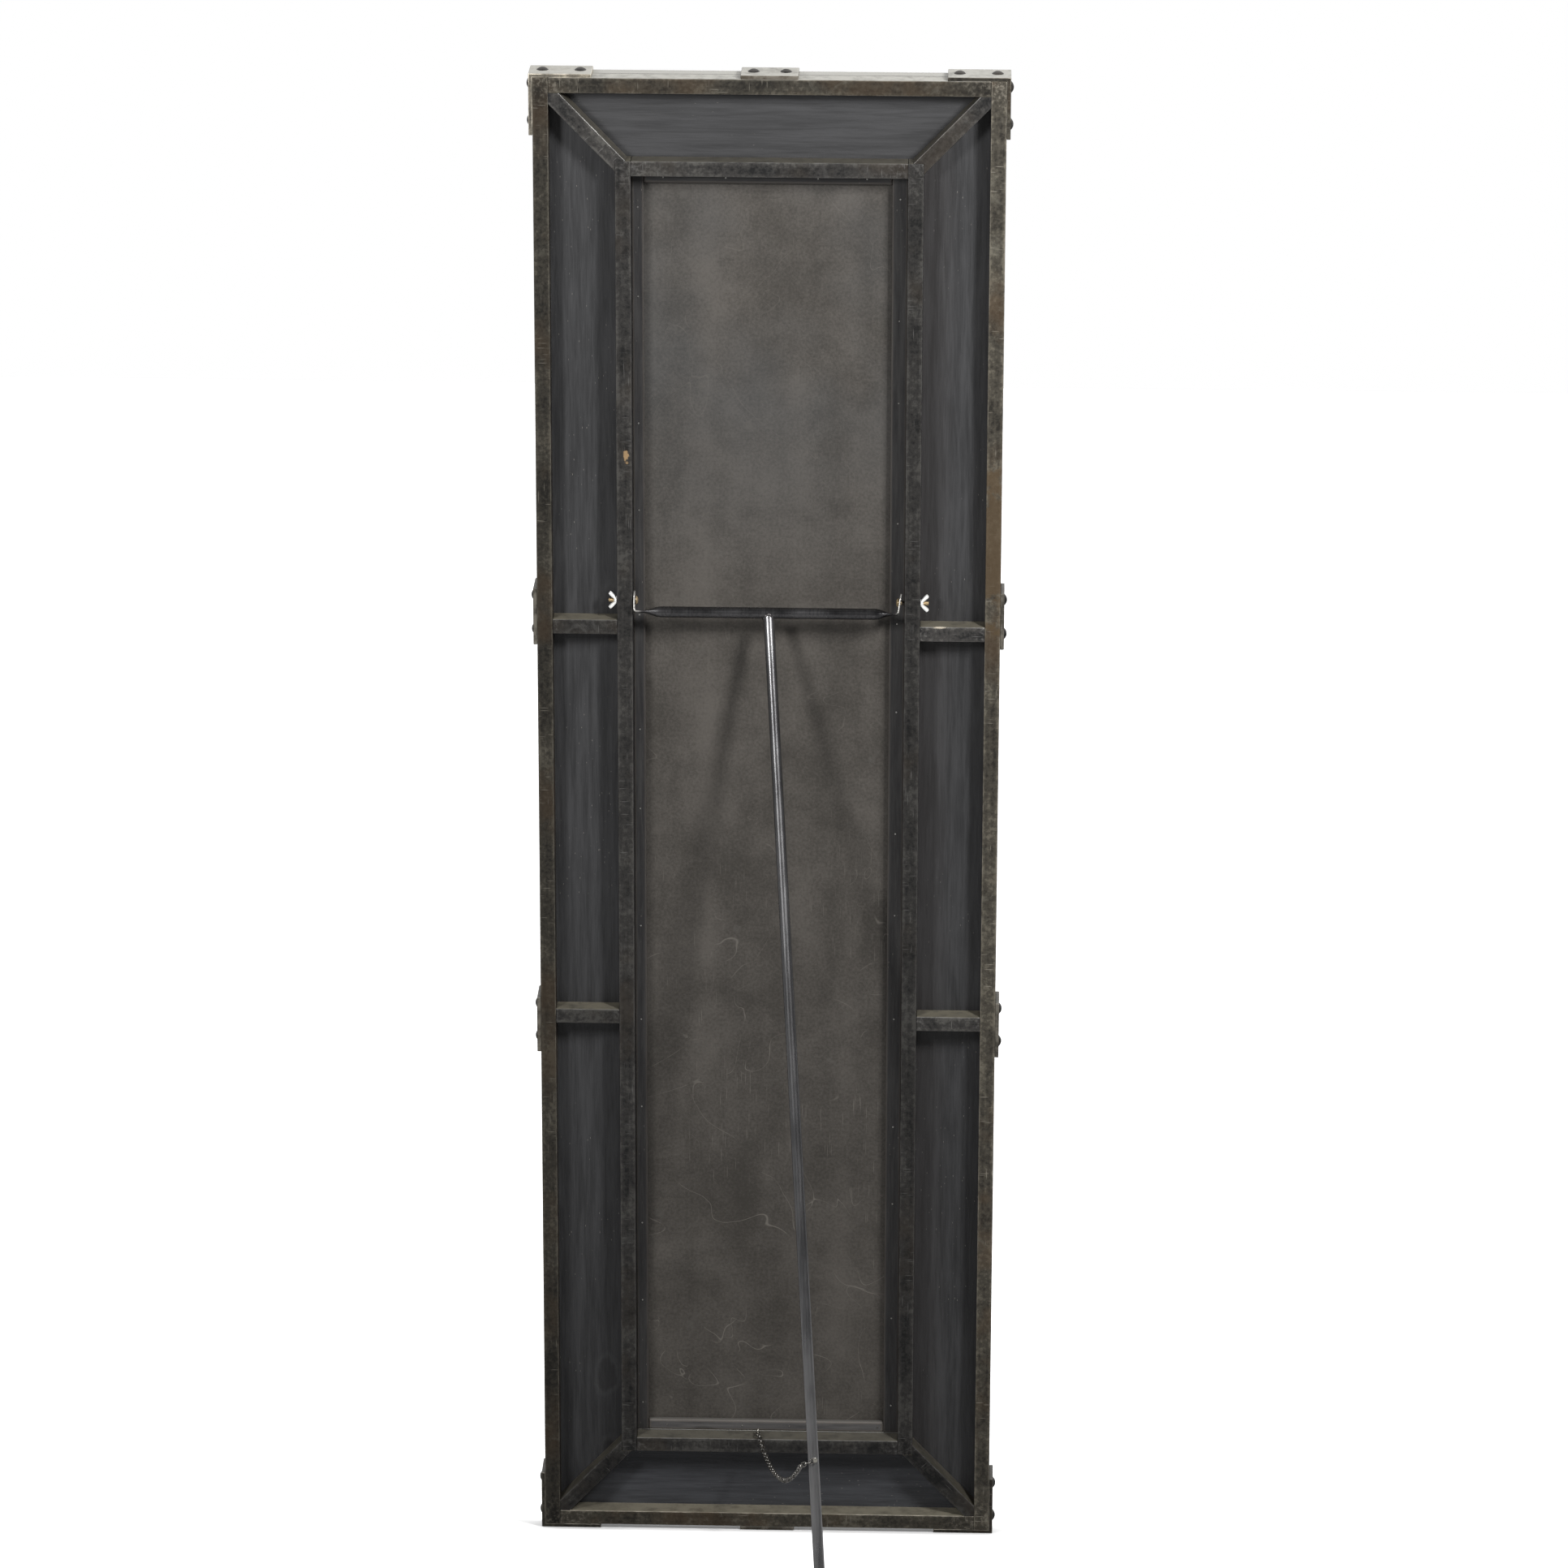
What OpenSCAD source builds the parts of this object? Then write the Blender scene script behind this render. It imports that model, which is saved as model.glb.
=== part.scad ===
// Easel-back floor mirror: welded back frame of steel tube with riveted straps on its outer edge,
// wooden border boards, a glass panel held by nailed strips, and a T-shaped prop leg that swings
// on two bolts and is stopped by a short chain.
// Mirror frame: x across, y from the back (0) to the front, z up along the leaning mirror.

/* [Overall] */
// Width of the tube frame
frame_w = 600; // [560:10:700]
// Height of the tube frame, measured along the mirror
frame_h = 2000; // [1900:10:2100]
// Angle that the mirror leans back from the vertical
lean_angle = 14; // [11:0.5:16]

/* [Tubes] */
// Width of the rectangular tube, seen from behind
tube_w = 20; // [18:1:22]
// Depth of the rectangular tube
tube_depth = 28; // [26:1:30]
// Wall of the tube
tube_wall = 1.5; // [1.2:0.1:2]
// Gap between the outer edges of the outer and the inner frame, at the sides
side_margin = 104; // [95:1:115]
// The same gap at the top
top_margin = 107; // [100:1:115]
// The same gap at the bottom
bottom_margin = 109; // [100:1:115]
// Height of the middle of the upper side struts
upper_strut_z = 1274; // [1240:1:1280]
// Height of the middle of the lower side struts
lower_strut_z = 735; // [650:5:800]
// How much lower the right-hand struts were welded
strut_drop = 5; // [0:1:8]

/* [Boards and glass] */
// Thickness of the border boards
board_t = 20; // [18:1:22]
// Thickness of the front lip that holds the glass
lip_t = 4; // [3:0.5:5]
// Width of the front lip beyond the inner frame
lip_w = 8; // [6:1:12]
// Thickness of the mirror glass
glass_t = 4; // [3:1:5]
// Thickness of the hardboard back panel
panel_t = 3; // [2:0.5:4]
// Clearance round the glass and the panel
glass_gap = 1; // [0.5:0.5:2]
// Width of the left, top and bottom retaining strips
strip_w = 15; // [12:1:18]
// Width of the right retaining strip
strip_right_w = 20; // [15:1:22]

/* [Straps and rivets] */
// Thickness of the flat bar
strap_t = 5; // [4:0.5:6]
// Length of each leg of a corner strap, outside
corner_leg = 80; // [70:1:90]
// Length of a side strap
side_strap_len = 76; // [70:1:90]
// Height of the middle of the upper side straps
upper_strap_z = 1287; // [1270:1:1320]
// Height of the middle of the lower side straps
lower_strap_z = 722; // [680:5:820]
// Length of the top and the bottom strap
end_strap_len = 73; // [60:1:90]
// Diameter of a rivet head
rivet_d = 15; // [12:1:16]
// Height of a rivet head
rivet_h = 3.5; // [2.5:0.5:4]
// Distance of a corner strap's first rivet from the corner
rivet_corner = 17; // [15:1:20]
// Distance between a corner strap's rivets
rivet_pitch = 48; // [40:1:50]
// Distance between a side strap's rivets
side_rivet_pitch = 46; // [40:1:50]
// Distance between the rivets of the top and the bottom strap
end_rivet_pitch = 41; // [35:1:45]

/* [Prop leg] */
// Diameter of the leg tube
leg_d = 14; // [12:1:14]
// Diameter of the crossbar's tube, a little more than the leg's
bar_d = 14.6; // [14.6:0.2:15.4]
// Wall of the leg and the crossbar
leg_wall = 1.4; // [1:0.2:2]
// Height of the pivot bolts
pivot_z = 1309; // [1305:1:1320]
// Depth of the pivot bolts behind the tube's back face
pivot_y = 7; // [6.5:0.5:7]
// Angle between the leg and the mirror
leg_angle = 21; // [19:0.5:22]
// Sideways lean of the leg, to the right
leg_skew = 3.8; // [0:0.2:5]
// Distance from the bolts to the crossbar
ear_drop = 15; // [14:0.5:18]
// Distance from the bolts to the ears' round ends
ear_tip = 12; // [10:0.5:12]
// Gap between the left ear and the left inner stile
left_ear_gap = 1; // [0.6:0.2:3]
// Gap between the right ear and the right inner stile
right_ear_gap = 5; // [0.6:0.2:6]
// Thickness of the flattened ears
ear_t = 2.2; // [1.8:0.2:3]
// Diameter of the pivot bolts
bolt_d = 5.3; // [5:0.1:6]
// Diameter of the rubber foot
foot_d = 20; // [18:1:24]

/* [Chain] */
// Number of links
chain_links = 60; // [60:2:60]
// Diameter of the wire of a link
link_wire = 1.6; // [1.4:0.1:1.6]
// Outer width of a link
link_w = 7; // [7:0.5:8]
// Outer length of a link
link_len = 11.1; // [11.1:0.1:11.1]
// Distance of the chain's screw from the crossbar, along the leg
chain_drop = 1102; // [1102:1:1102]
// Sideways place of the screw eye
eye_x = -13; // [-15:1:-10]

/* [Hidden] */
$fn = 48;

// Overshoot of a cutting solid
over = 1;
half_w = frame_w / 2;
depth = tube_depth + board_t;

// Inner frame: outer edges, then the opening between its tubes
inner_x = half_w - side_margin;
inner_top = frame_h - top_margin;
inner_bottom = bottom_margin;
open_x = inner_x - tube_w;
open_top = inner_top - tube_w;
open_bottom = inner_bottom + tube_w;

// Layers behind the front lip
lip_y = depth - lip_t;
glass_y = lip_y - glass_t;
panel_y = glass_y - panel_t;
// Panel pins in the strips, driven by eye, so that their spacing varies a little
nail_d = 2;
nail_h = 0.6;
side_nails = 13;
end_nails = 4;
nail_inset = 40;
nail_stray = 16;
stray_turn = 137;

// Rivets: spherical head and a shank that fills the strap's hole
rivet_sphere = (rivet_d * rivet_d / 4 + rivet_h * rivet_h) / (2 * rivet_h);
shank_r = 3;
shank_fit = 0.05;

// The leaning mirror stands on the back edge of its lower straps
lift_z = strap_t * cos(lean_angle);
// The leg's angle from the vertical
leg_tilt = leg_angle - lean_angle;
// Bolt axis and crossbar before the whole is centred
pivot_y0 = pivot_y * cos(lean_angle) - pivot_z * sin(lean_angle);
pivot_h = lift_z + pivot_y * sin(lean_angle) + pivot_z * cos(lean_angle);
bar_y0 = pivot_y0 - ear_drop * sin(leg_tilt);
bar_h = pivot_h - ear_drop * cos(leg_tilt);
// Direction of the leg, from the crossbar to the floor
leg_dir = [sin(leg_skew), -cos(leg_skew) * sin(leg_tilt), -cos(leg_skew) * cos(leg_tilt)];
leg_to_floor = -bar_h / leg_dir.z;
foot_y0 = bar_y0 + leg_to_floor * leg_dir.y;
foot_reach = foot_d / 2 * sqrt(1 + pow(leg_dir.y / leg_dir.z, 2));
// Middle of the footprint, moved to the origin
front_y0 = depth * cos(lean_angle) + strap_t * sin(lean_angle);
shift_y = -(front_y0 + foot_y0 - foot_reach) / 2;
bar_point = [0, bar_y0 + shift_y, bar_h];

// Crossbar and ears
ear_half = 11;
bar_taper_in = 140;
bar_flat_in = 164;
bore_fit = 0.07;
nut_fit = 0.05;
hole_fit = 0.25;

// Pivot bolt
head_gap = 0.4;
head_d = 12;
head_h = 3.5;
head_sphere = (head_d * head_d / 4 + head_h * head_h) / (2 * head_h);
bolt_end = inner_x + 11;

// Wing nut, from the stile outwards
nut_gap = 0.3;
nut_base = 2.6;
nut_r = 5;
wing_half = 4.2;
wing_angle = 35;
wing_len = 11;
wing_root = 4.2;

// Rubber foot
foot_len = 28;
foot_floor = 5;
weld_r = 1.8;

// Chain eye on the inner bottom rail
eye_wire = 2;
eye_ring = 4;
eye_y = 10;
eye_h = 7;
cut_size = 400;

// Chain: links on a catenary from the eye, and the last ones turned round the leg to the screw
link_inner = link_len - 2 * link_wire;
link_gap = 0.2;
link_pitch = link_inner - link_gap;
link_bend = (link_w - link_wire) / 2;
link_run = (link_len - link_w) / 2;
first_link = eye_ring - eye_wire / 2 - link_wire / 2 - link_gap + (link_inner + link_wire) / 2;
// Links that turn round the leg, how far each one turns from the link before it, and their rise
wrap_links = 3;
wrap_step = 30;
wrap_rise = 22;
last_hung = chain_links - 1 - wrap_links;
hang_len = first_link + last_hung * link_pitch;
// Screw: neck radius, and distance of the last link's plane from the leg's axis
chain_screw_r = 1.5;
plane_off = leg_d / 2 + link_wire;
screw_at = link_inner / 2 - chain_screw_r;
chain_start = mirror_point([eye_x, eye_y, open_bottom + eye_h]);
leg_point = bar_point + chain_drop * leg_dir;
// Plan direction of the chain, and its right-hand side, towards the leg
to_leg = [leg_point.x - chain_start.x, leg_point.y - chain_start.y];
plan = to_leg / norm(to_leg);
right = [-plan.y, plan.x];
// Along and beside the plan direction, from the last hung link to the screw
wrap_end = (wrap_walk(wrap_links) + screw_at * turned(wrap_links)) * cos(wrap_rise);
wrap_yaw = atan2(plan.y, plan.x);
hang_end = [
    leg_point.x + (plane_off - wrap_end.x) * plan.x - wrap_end.y * right.x,
    leg_point.y + (plane_off - wrap_end.x) * plan.y - wrap_end.y * right.y,
    leg_point.z
];
hang_plan = [hang_end.x - chain_start.x, hang_end.y - chain_start.y];
hang_span = norm(hang_plan);
hang_dir = hang_plan / hang_span;
hang_rise = hang_end.z - chain_start.z;
cat_ratio = sqrt(hang_len * hang_len - hang_rise * hang_rise) / hang_span;
cat_size = hang_span / (2 * catenary(cat_ratio, 0.02, 3));
// Arc length from the catenary's lowest point to the eye, negative
cat_mid = cat_size * atanh(hang_rise / hang_len);
cat_start = cat_size * sinh((cat_mid - hang_span / 2) / cat_size);

function sinh(x) = (exp(x) - exp(-x)) / 2;
function asinh(x) = ln(x + sqrt(x * x + 1));
function atanh(x) = ln((1 + x) / (1 - x)) / 2;
// Root of sinh(x) / x = ratio, by halving
function catenary(ratio, low, high, steps = 40) =
    steps == 0 ? (low + high) / 2 :
    let (mid = (low + high) / 2)
    sinh(mid) / mid > ratio ? catenary(ratio, low, mid, steps - 1) : catenary(ratio, mid, high, steps - 1);
// Distance of an ear's outer face from the middle
function ear_out(side) = open_x - (side < 0 ? left_ear_gap : right_ear_gap);
// A point of the leaning mirror in the object's frame
function mirror_point(p) = [
    p.x,
    p.y * cos(lean_angle) - p.z * sin(lean_angle) + shift_y,
    p.y * sin(lean_angle) + p.z * cos(lean_angle) + lift_z
];
// Height above the chain's start, and plan distance from it, at arc length s
function hang_x(s) = cat_size * (asinh((cat_start + s) / cat_size) - asinh(cat_start / cat_size));
function hang_z(s) = norm([cat_size, cat_start + s]) - norm([cat_size, cat_start]);
// Direction of the link that has made n turns: along and beside the plan direction
function turned(n) = [cos(n * wrap_step), sin(n * wrap_step)];
// Middle of that link. A flat link is followed by an upright one, which turns about the middle of
// its end bend. An upright link is followed by a flat one, which turns about its end wire.
function wrap_walk(n) = n == 0 ? [0, 0] : wrap_walk(n - 1) + (n % 2 == 1
    ? link_run * turned(n - 1) + (link_pitch - link_run) * turned(n)
    : (link_inner + link_wire) / 2 * turned(n - 1)
        + (link_pitch - (link_inner + link_wire) / 2) * turned(n));
// A point given along and beside the plan direction from the last hung link
function wrap_place(q, run) = [
    hang_end.x + q.x * plan.x + q.y * right.x,
    hang_end.y + q.x * plan.y + q.y * right.y,
    hang_end.z + sin(wrap_rise) * run
];
function link_point(i) = i > last_hung
    ? wrap_place(wrap_walk(i - last_hung) * cos(wrap_rise), (i - last_hung) * link_pitch)
    : [chain_start.x + hang_dir.x * hang_x(first_link + i * link_pitch),
       chain_start.y + hang_dir.y * hang_x(first_link + i * link_pitch),
       chain_start.z + hang_z(first_link + i * link_pitch)];
function link_yaw(i) = i > last_hung ? wrap_yaw + (i - last_hung) * wrap_step : atan2(hang_dir.y, hang_dir.x);
function link_slope(i) =
    i > last_hung ? wrap_rise : atan((cat_start + first_link + i * link_pitch) / cat_size);

// Puts a shape drawn in the mirror frame where the leaning mirror is
module on_mirror() {
    translate([0, shift_y, lift_z]) rotate([lean_angle, 0, 0]) children();
}

// Puts a shape drawn round the bolt axis where the prop leg is
module on_prop() {
    translate([0, pivot_y0 + shift_y, pivot_h]) rotate([-leg_tilt, 0, 0]) children();
}

// Puts a shape drawn down from the crossbar where the leg tube is
module on_leg() {
    on_prop() translate([0, 0, -ear_drop]) rotate([0, -leg_skew, 0]) children();
}

// A plate with an outline in x and z
module plate(outline, y_back, thickness) {
    translate([0, y_back + thickness, 0]) rotate([90, 0, 0]) linear_extrude(thickness) polygon(outline);
}

// A tube from z1 to z2 at x
module upright_tube(x, z1, z2) {
    translate([x, 0, z1]) difference() {
        cube([tube_w, tube_depth, z2 - z1]);
        translate([tube_wall, tube_wall, -over])
            cube([tube_w - 2 * tube_wall, tube_depth - 2 * tube_wall, z2 - z1 + 2 * over]);
    }
}

// A tube from x1 to x2 at height z
module level_tube(x1, x2, z) {
    translate([x1, 0, z]) difference() {
        cube([x2 - x1, tube_depth, tube_w]);
        translate([-over, tube_wall, tube_wall])
            cube([x2 - x1 + 2 * over, tube_depth - 2 * tube_wall, tube_w - 2 * tube_wall]);
    }
}

module outer_stile(side) {
    color("#4b453c") on_mirror() upright_tube(side < 0 ? -half_w : half_w - tube_w, 0, frame_h);
}

module outer_rail(z) {
    color("#4b453c") on_mirror() level_tube(-half_w + tube_w, half_w - tube_w, z);
}

module inner_stile(side) {
    color("#3c3a37") on_mirror() difference() {
        upright_tube(side < 0 ? -inner_x : open_x, inner_bottom, inner_top);
        translate([side * inner_x - side * tube_w / 2, pivot_y, pivot_z]) rotate([0, 90, 0])
            cylinder(h = tube_w + 2 * over, r = bolt_d / 2 + hole_fit, center = true);
    }
}

module inner_rail(z) {
    color("#3c3a37") on_mirror() level_tube(-open_x, open_x, z);
}

// A tube on the diagonal between the corners of the two frames, for x > 0
module corner_tube(outer_z, inner_z) {
    outer_x = half_w - tube_w;
    up = sign(outer_z - inner_z);
    reach = 14;
    len = norm([outer_x - inner_x, outer_z - inner_z]) + 2 * reach;
    turn = atan2(outer_z - inner_z, outer_x - inner_x);
    block = tube_w * 2;
    intersection() {
        translate([inner_x, 0, inner_z]) rotate([0, -turn, 0]) translate([-reach, 0, -tube_w / 2])
            difference() {
                cube([len, tube_depth, tube_w]);
                translate([-over, tube_wall, tube_wall])
                    cube([len + 2 * over, tube_depth - 2 * tube_wall, tube_w - 2 * tube_wall]);
            }
        difference() {
            translate([inner_x - block, -over, min(outer_z, inner_z - up * block)])
                cube([outer_x - inner_x + block, tube_depth + 2 * over, abs(outer_z - inner_z) + block]);
            translate([inner_x - 2 * block, -2 * over, up > 0 ? inner_z - 2 * block : inner_z])
                cube([2 * block, tube_depth + 4 * over, 2 * block]);
        }
    }
}

module corner_brace(side, top) {
    color("#46433e") on_mirror() mirror([side < 0 ? 1 : 0, 0, 0])
        corner_tube(top ? frame_h - tube_w : tube_w, top ? inner_top : inner_bottom);
}

module side_strut(side, z_mid) {
    z = z_mid - tube_w / 2 - (side > 0 ? strut_drop : 0);
    color("#46433e") on_mirror()
        level_tube(side < 0 ? -half_w + tube_w : inner_x, side < 0 ? -inner_x : half_w - tube_w, z);
}

// A border board: the back layer ends at the inner frame's opening, and the lip reaches past it
module border_board(outer1, outer2, inner1, inner2, lip1, lip2) {
    color("#26272a") on_mirror() {
        plate([outer1, outer2, inner2, inner1], tube_depth, board_t - lip_t);
        plate([outer1, outer2, lip2, lip1], lip_y, lip_t);
    }
}

module side_board(side) {
    x = side * half_w;
    lip_x = side * (open_x - lip_w);
    border_board([x, 0], [x, frame_h], [side * open_x, open_bottom], [side * open_x, open_top],
        [lip_x, open_bottom + lip_w], [lip_x, open_top - lip_w]);
}

module end_board(z_outer, z_inner) {
    lip_z = z_inner + (z_outer > z_inner ? -lip_w : lip_w);
    lip_x = open_x - lip_w;
    border_board([-half_w, z_outer], [half_w, z_outer], [-open_x, z_inner], [open_x, z_inner],
        [-lip_x, lip_z], [lip_x, lip_z]);
}

// A sheet that fills the opening between the border boards
module sheet(y_back, thickness) {
    on_mirror() translate([-open_x + glass_gap, y_back, open_bottom + glass_gap])
        cube([2 * (open_x - glass_gap), thickness, open_top - open_bottom - 2 * glass_gap]);
}

module mirror_glass() {
    color("#c9d3d6") sheet(glass_y, glass_t);
}

module back_panel() {
    color("#6f6962") sheet(panel_y, panel_t);
}

module strip(x, z, w, h) {
    color("#2f2f31") on_mirror() translate([x, tube_depth, z]) cube([w, panel_y - tube_depth, h]);
}

module side_strip(side) {
    w = side < 0 ? strip_w : strip_right_w;
    strip(side < 0 ? -open_x : open_x - w, open_bottom, w, open_top - open_bottom);
}

module end_strip(z) {
    strip(-open_x + strip_w, z, 2 * open_x - strip_w - strip_right_w, strip_w);
}

module nail_head(x, z) {
    translate([x, tube_depth, z]) rotate([90, 0, 0]) cylinder(h = nail_h, d = nail_d, $fn = 16);
}

// How far pin number i strays from its even place
function stray(i) = nail_stray * sin(stray_turn * i);

module strip_nails() {
    side_step = (open_top - open_bottom - 2 * nail_inset) / (side_nails - 1);
    end_step = (open_x - nail_inset) * 2 / (end_nails - 1);
    color("#a9a9a6") on_mirror() {
        for (i = [0:side_nails - 1]) {
            nail_head(-open_x + strip_w / 2, open_bottom + nail_inset + i * side_step + stray(i));
            nail_head(open_x - strip_right_w / 2, open_bottom + nail_inset + i * side_step - stray(i));
        }
        for (i = [0:end_nails - 1]) {
            nail_head(-open_x + nail_inset + i * end_step + stray(i), open_bottom + strip_w / 2);
            nail_head(-open_x + nail_inset + i * end_step - stray(i), open_top - strip_w / 2);
        }
    }
}

// Hole for a rivet whose axis points to one side (turn = [0, 90, 0]) or up
module rivet_hole(place, turn) {
    translate(place) rotate(turn)
        cylinder(h = 2 * strap_t + 2 * over, r = shank_r + shank_fit, center = true);
}

// A rivet that points along +z from the strap's outer face
module rivet(place, turn) {
    translate(place) rotate(turn) union() {
        intersection() {
            translate([0, 0, rivet_h - rivet_sphere]) sphere(r = rivet_sphere);
            cylinder(h = rivet_h + over, d = rivet_d + over);
        }
        translate([0, 0, -strap_t]) cylinder(h = strap_t + over, r = shank_r);
    }
}

// An L-shaped strap round the top right corner, drawn for x > 0 and z > 0 from the corner
module corner_strap_shape() {
    first = rivet_corner - strap_t;
    difference() {
        union() {
            translate([-corner_leg + strap_t, 0, 0]) cube([corner_leg, depth, strap_t]);
            translate([0, 0, -corner_leg + strap_t]) cube([strap_t, depth, corner_leg]);
        }
        for (along = [first, first + rivet_pitch]) {
            rivet_hole([-along, depth / 2, 0], [0, 0, 0]);
            rivet_hole([0, depth / 2, -along], [0, 90, 0]);
        }
    }
}

module corner_strap(side, top) {
    color("#4f4a42") on_mirror() translate([side * half_w, 0, top ? frame_h : 0])
        mirror([side < 0 ? 1 : 0, 0, 0]) mirror([0, 0, top ? 0 : 1]) corner_strap_shape();
}

module side_strap(side, z_mid) {
    color("#4f4a42") on_mirror() difference() {
        translate([side < 0 ? -half_w - strap_t : half_w, 0, z_mid - side_strap_len / 2])
            cube([strap_t, depth, side_strap_len]);
        for (dz = [-side_rivet_pitch / 2, side_rivet_pitch / 2])
            rivet_hole([side * half_w, depth / 2, z_mid + dz], [0, 90, 0]);
    }
}

module end_strap(top) {
    color("#4f4a42") on_mirror() difference() {
        translate([-end_strap_len / 2, 0, top ? frame_h : -strap_t])
            cube([end_strap_len, depth, strap_t]);
        for (dx = [-end_rivet_pitch / 2, end_rivet_pitch / 2])
            rivet_hole([dx, depth / 2, top ? frame_h : 0], [0, 0, 0]);
    }
}

module strap_rivets() {
    first = rivet_corner - strap_t;
    face_x = half_w + strap_t;
    mid = depth / 2;
    color("#57524a") on_mirror() {
        for (along = [first, first + rivet_pitch], side = [-1, 1]) {
            rivet([side * (half_w - along), mid, frame_h + strap_t], [0, 0, 0]);
            rivet([side * (half_w - along), mid, -strap_t], [180, 0, 0]);
            rivet([side * face_x, mid, frame_h - along], [0, side * 90, 0]);
            rivet([side * face_x, mid, along], [0, side * 90, 0]);
        }
        for (dz = [-side_rivet_pitch / 2, side_rivet_pitch / 2], side = [-1, 1]) {
            rivet([side * face_x, mid, upper_strap_z + dz], [0, side * 90, 0]);
            rivet([side * face_x, mid, lower_strap_z + dz], [0, side * 90, 0]);
        }
        for (dx = [-end_rivet_pitch / 2, end_rivet_pitch / 2]) {
            rivet([dx, mid, frame_h + strap_t], [0, 0, 0]);
            rivet([dx, mid, -strap_t], [180, 0, 0]);
        }
    }
}

// Bolt with a domed head on the inside of the ear, pointing outwards
module pivot_bolt(side) {
    head_x = ear_out(side) - ear_t - head_gap;
    color("#a4703f") on_mirror() mirror([side < 0 ? 1 : 0, 0, 0]) translate([0, pivot_y, pivot_z])
        rotate([0, 90, 0]) union() {
            translate([0, 0, head_x]) cylinder(h = bolt_end - head_x, d = bolt_d);
            intersection() {
                translate([0, 0, head_x - head_h + head_sphere]) sphere(r = head_sphere);
                translate([0, 0, head_x - head_h - over]) cylinder(h = head_h + over, d = head_d + over);
            }
        }
}

// One wing of the nut, in the plane of the bolt axis (x) and its radius (y)
module wing_outline() {
    tip = [nut_base / 2 + wing_len * cos(wing_angle), wing_root + wing_len * sin(wing_angle)];
    skin = nut_base / 2;
    polygon([
        [0, wing_root - skin],
        [0, wing_root + skin / 2],
        [tip.x - skin * sin(wing_angle), tip.y + skin * cos(wing_angle)],
        [tip.x + skin * sin(wing_angle), tip.y - skin * cos(wing_angle)],
        [nut_base, wing_root - skin]
    ]);
}

module wing_nut(side) {
    color("#d7d7d2") on_mirror() mirror([side < 0 ? 1 : 0, 0, 0])
        translate([inner_x + nut_gap, pivot_y, pivot_z]) difference() {
            union() {
                rotate([0, 90, 0]) cylinder(h = nut_base, r = nut_r);
                for (flip = [0, 180])
                    rotate([flip, 0, 0]) translate([0, wing_half, 0]) rotate([90, 0, 0])
                        linear_extrude(2 * wing_half) wing_outline();
            }
            translate([-over, 0, 0]) rotate([0, 90, 0])
                cylinder(h = nut_base + 2 * over, r = bolt_d / 2 + nut_fit);
        }
}

// Half of the crossbar, drawn for x > 0, round the bolt axis: tube, flattened end and bored ear
module half_crossbar(side) {
    skin = 0.5;
    facets = 32;
    ear_in = ear_out(side) - ear_t;
    difference() {
        union() {
            translate([0, 0, -ear_drop]) {
                difference() {
                    rotate([0, 90, 0]) cylinder(h = bar_taper_in + skin, d = bar_d);
                    translate([-over, 0, 0]) rotate([0, 90, 0])
                        cylinder(h = bar_taper_in + over, d = bar_d - 2 * leg_wall);
                }
                hull() {
                    translate([bar_taper_in, 0, 0]) rotate([0, 90, 0])
                        cylinder(h = skin, d = bar_d, $fn = facets);
                    translate([bar_flat_in, -ear_half, -ear_t / 2]) cube([skin, 2 * ear_half, ear_t]);
                }
                translate([bar_flat_in, -ear_half, -ear_t / 2])
                    cube([ear_out(side) - bar_flat_in, 2 * ear_half, ear_t]);
            }
            translate([ear_in, -ear_half, -ear_drop - ear_t / 2])
                cube([ear_t, 2 * ear_half, ear_drop + ear_t / 2]);
            intersection() {
                translate([ear_in, 0, 0]) rotate([0, 90, 0]) cylinder(h = ear_t, r = ear_tip);
                translate([ear_in - over, -ear_half, -over])
                    cube([ear_t + 2 * over, 2 * ear_half, ear_tip + 2 * over]);
            }
        }
        translate([ear_in - over, 0, 0]) rotate([0, 90, 0])
            cylinder(h = ear_t + 2 * over, r = bolt_d / 2 + bore_fit);
    }
}

module prop_crossbar() {
    color("#5b5c60") on_prop() {
        half_crossbar(1);
        mirror([1, 0, 0]) half_crossbar(-1);
    }
}

// The crossbar's outer cylinder, in the leg's own axes, to shape what meets it
module crossbar_cut() {
    rotate([0, leg_skew, 0]) rotate([0, 90, 0]) cylinder(h = 8 * bar_d, d = bar_d, center = true);
}

module prop_leg() {
    end = leg_to_floor - foot_floor;
    color("#5b5c60") on_leg() difference() {
        translate([0, 0, -end]) cylinder(h = end, d = leg_d);
        translate([0, 0, -end - over]) cylinder(h = end + 2 * over, d = leg_d - 2 * leg_wall);
        crossbar_cut();
    }
}

module leg_weld() {
    color("#68686a") on_leg() difference() {
        translate([0, 0, -bar_d / 2 - weld_r / 2]) rotate_extrude()
            translate([leg_d / 2, 0, 0]) circle(r = weld_r, $fn = 24);
        translate([0, 0, -bar_d * 2]) cylinder(h = bar_d * 3, d = leg_d);
        crossbar_cut();
    }
}

module rubber_foot() {
    end = leg_to_floor - foot_floor;
    color("#1d1d1e") difference() {
        on_leg() difference() {
            translate([0, 0, -leg_to_floor - foot_floor]) cylinder(h = foot_len, d = foot_d);
            translate([0, 0, -end]) cylinder(h = foot_len, d = leg_d);
        }
        translate([0, 0, -cut_size / 2]) cube([4 * cut_size, 4 * cut_size, cut_size], center = true);
    }
}

// Ring of the eye in the chain's plan direction, on a short stem
module chain_eye() {
    ring_yaw = atan2(hang_dir.y, hang_dir.x);
    stem = eye_h - eye_ring + eye_wire / 4;
    color("#8f8b80") {
        translate(chain_start) rotate([90, 0, ring_yaw]) rotate_extrude()
            translate([eye_ring, 0, 0]) circle(d = eye_wire, $fn = 24);
        on_mirror() translate([eye_x, eye_y, open_bottom]) cylinder(h = stem, d = eye_wire, $fn = 24);
    }
}

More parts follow.
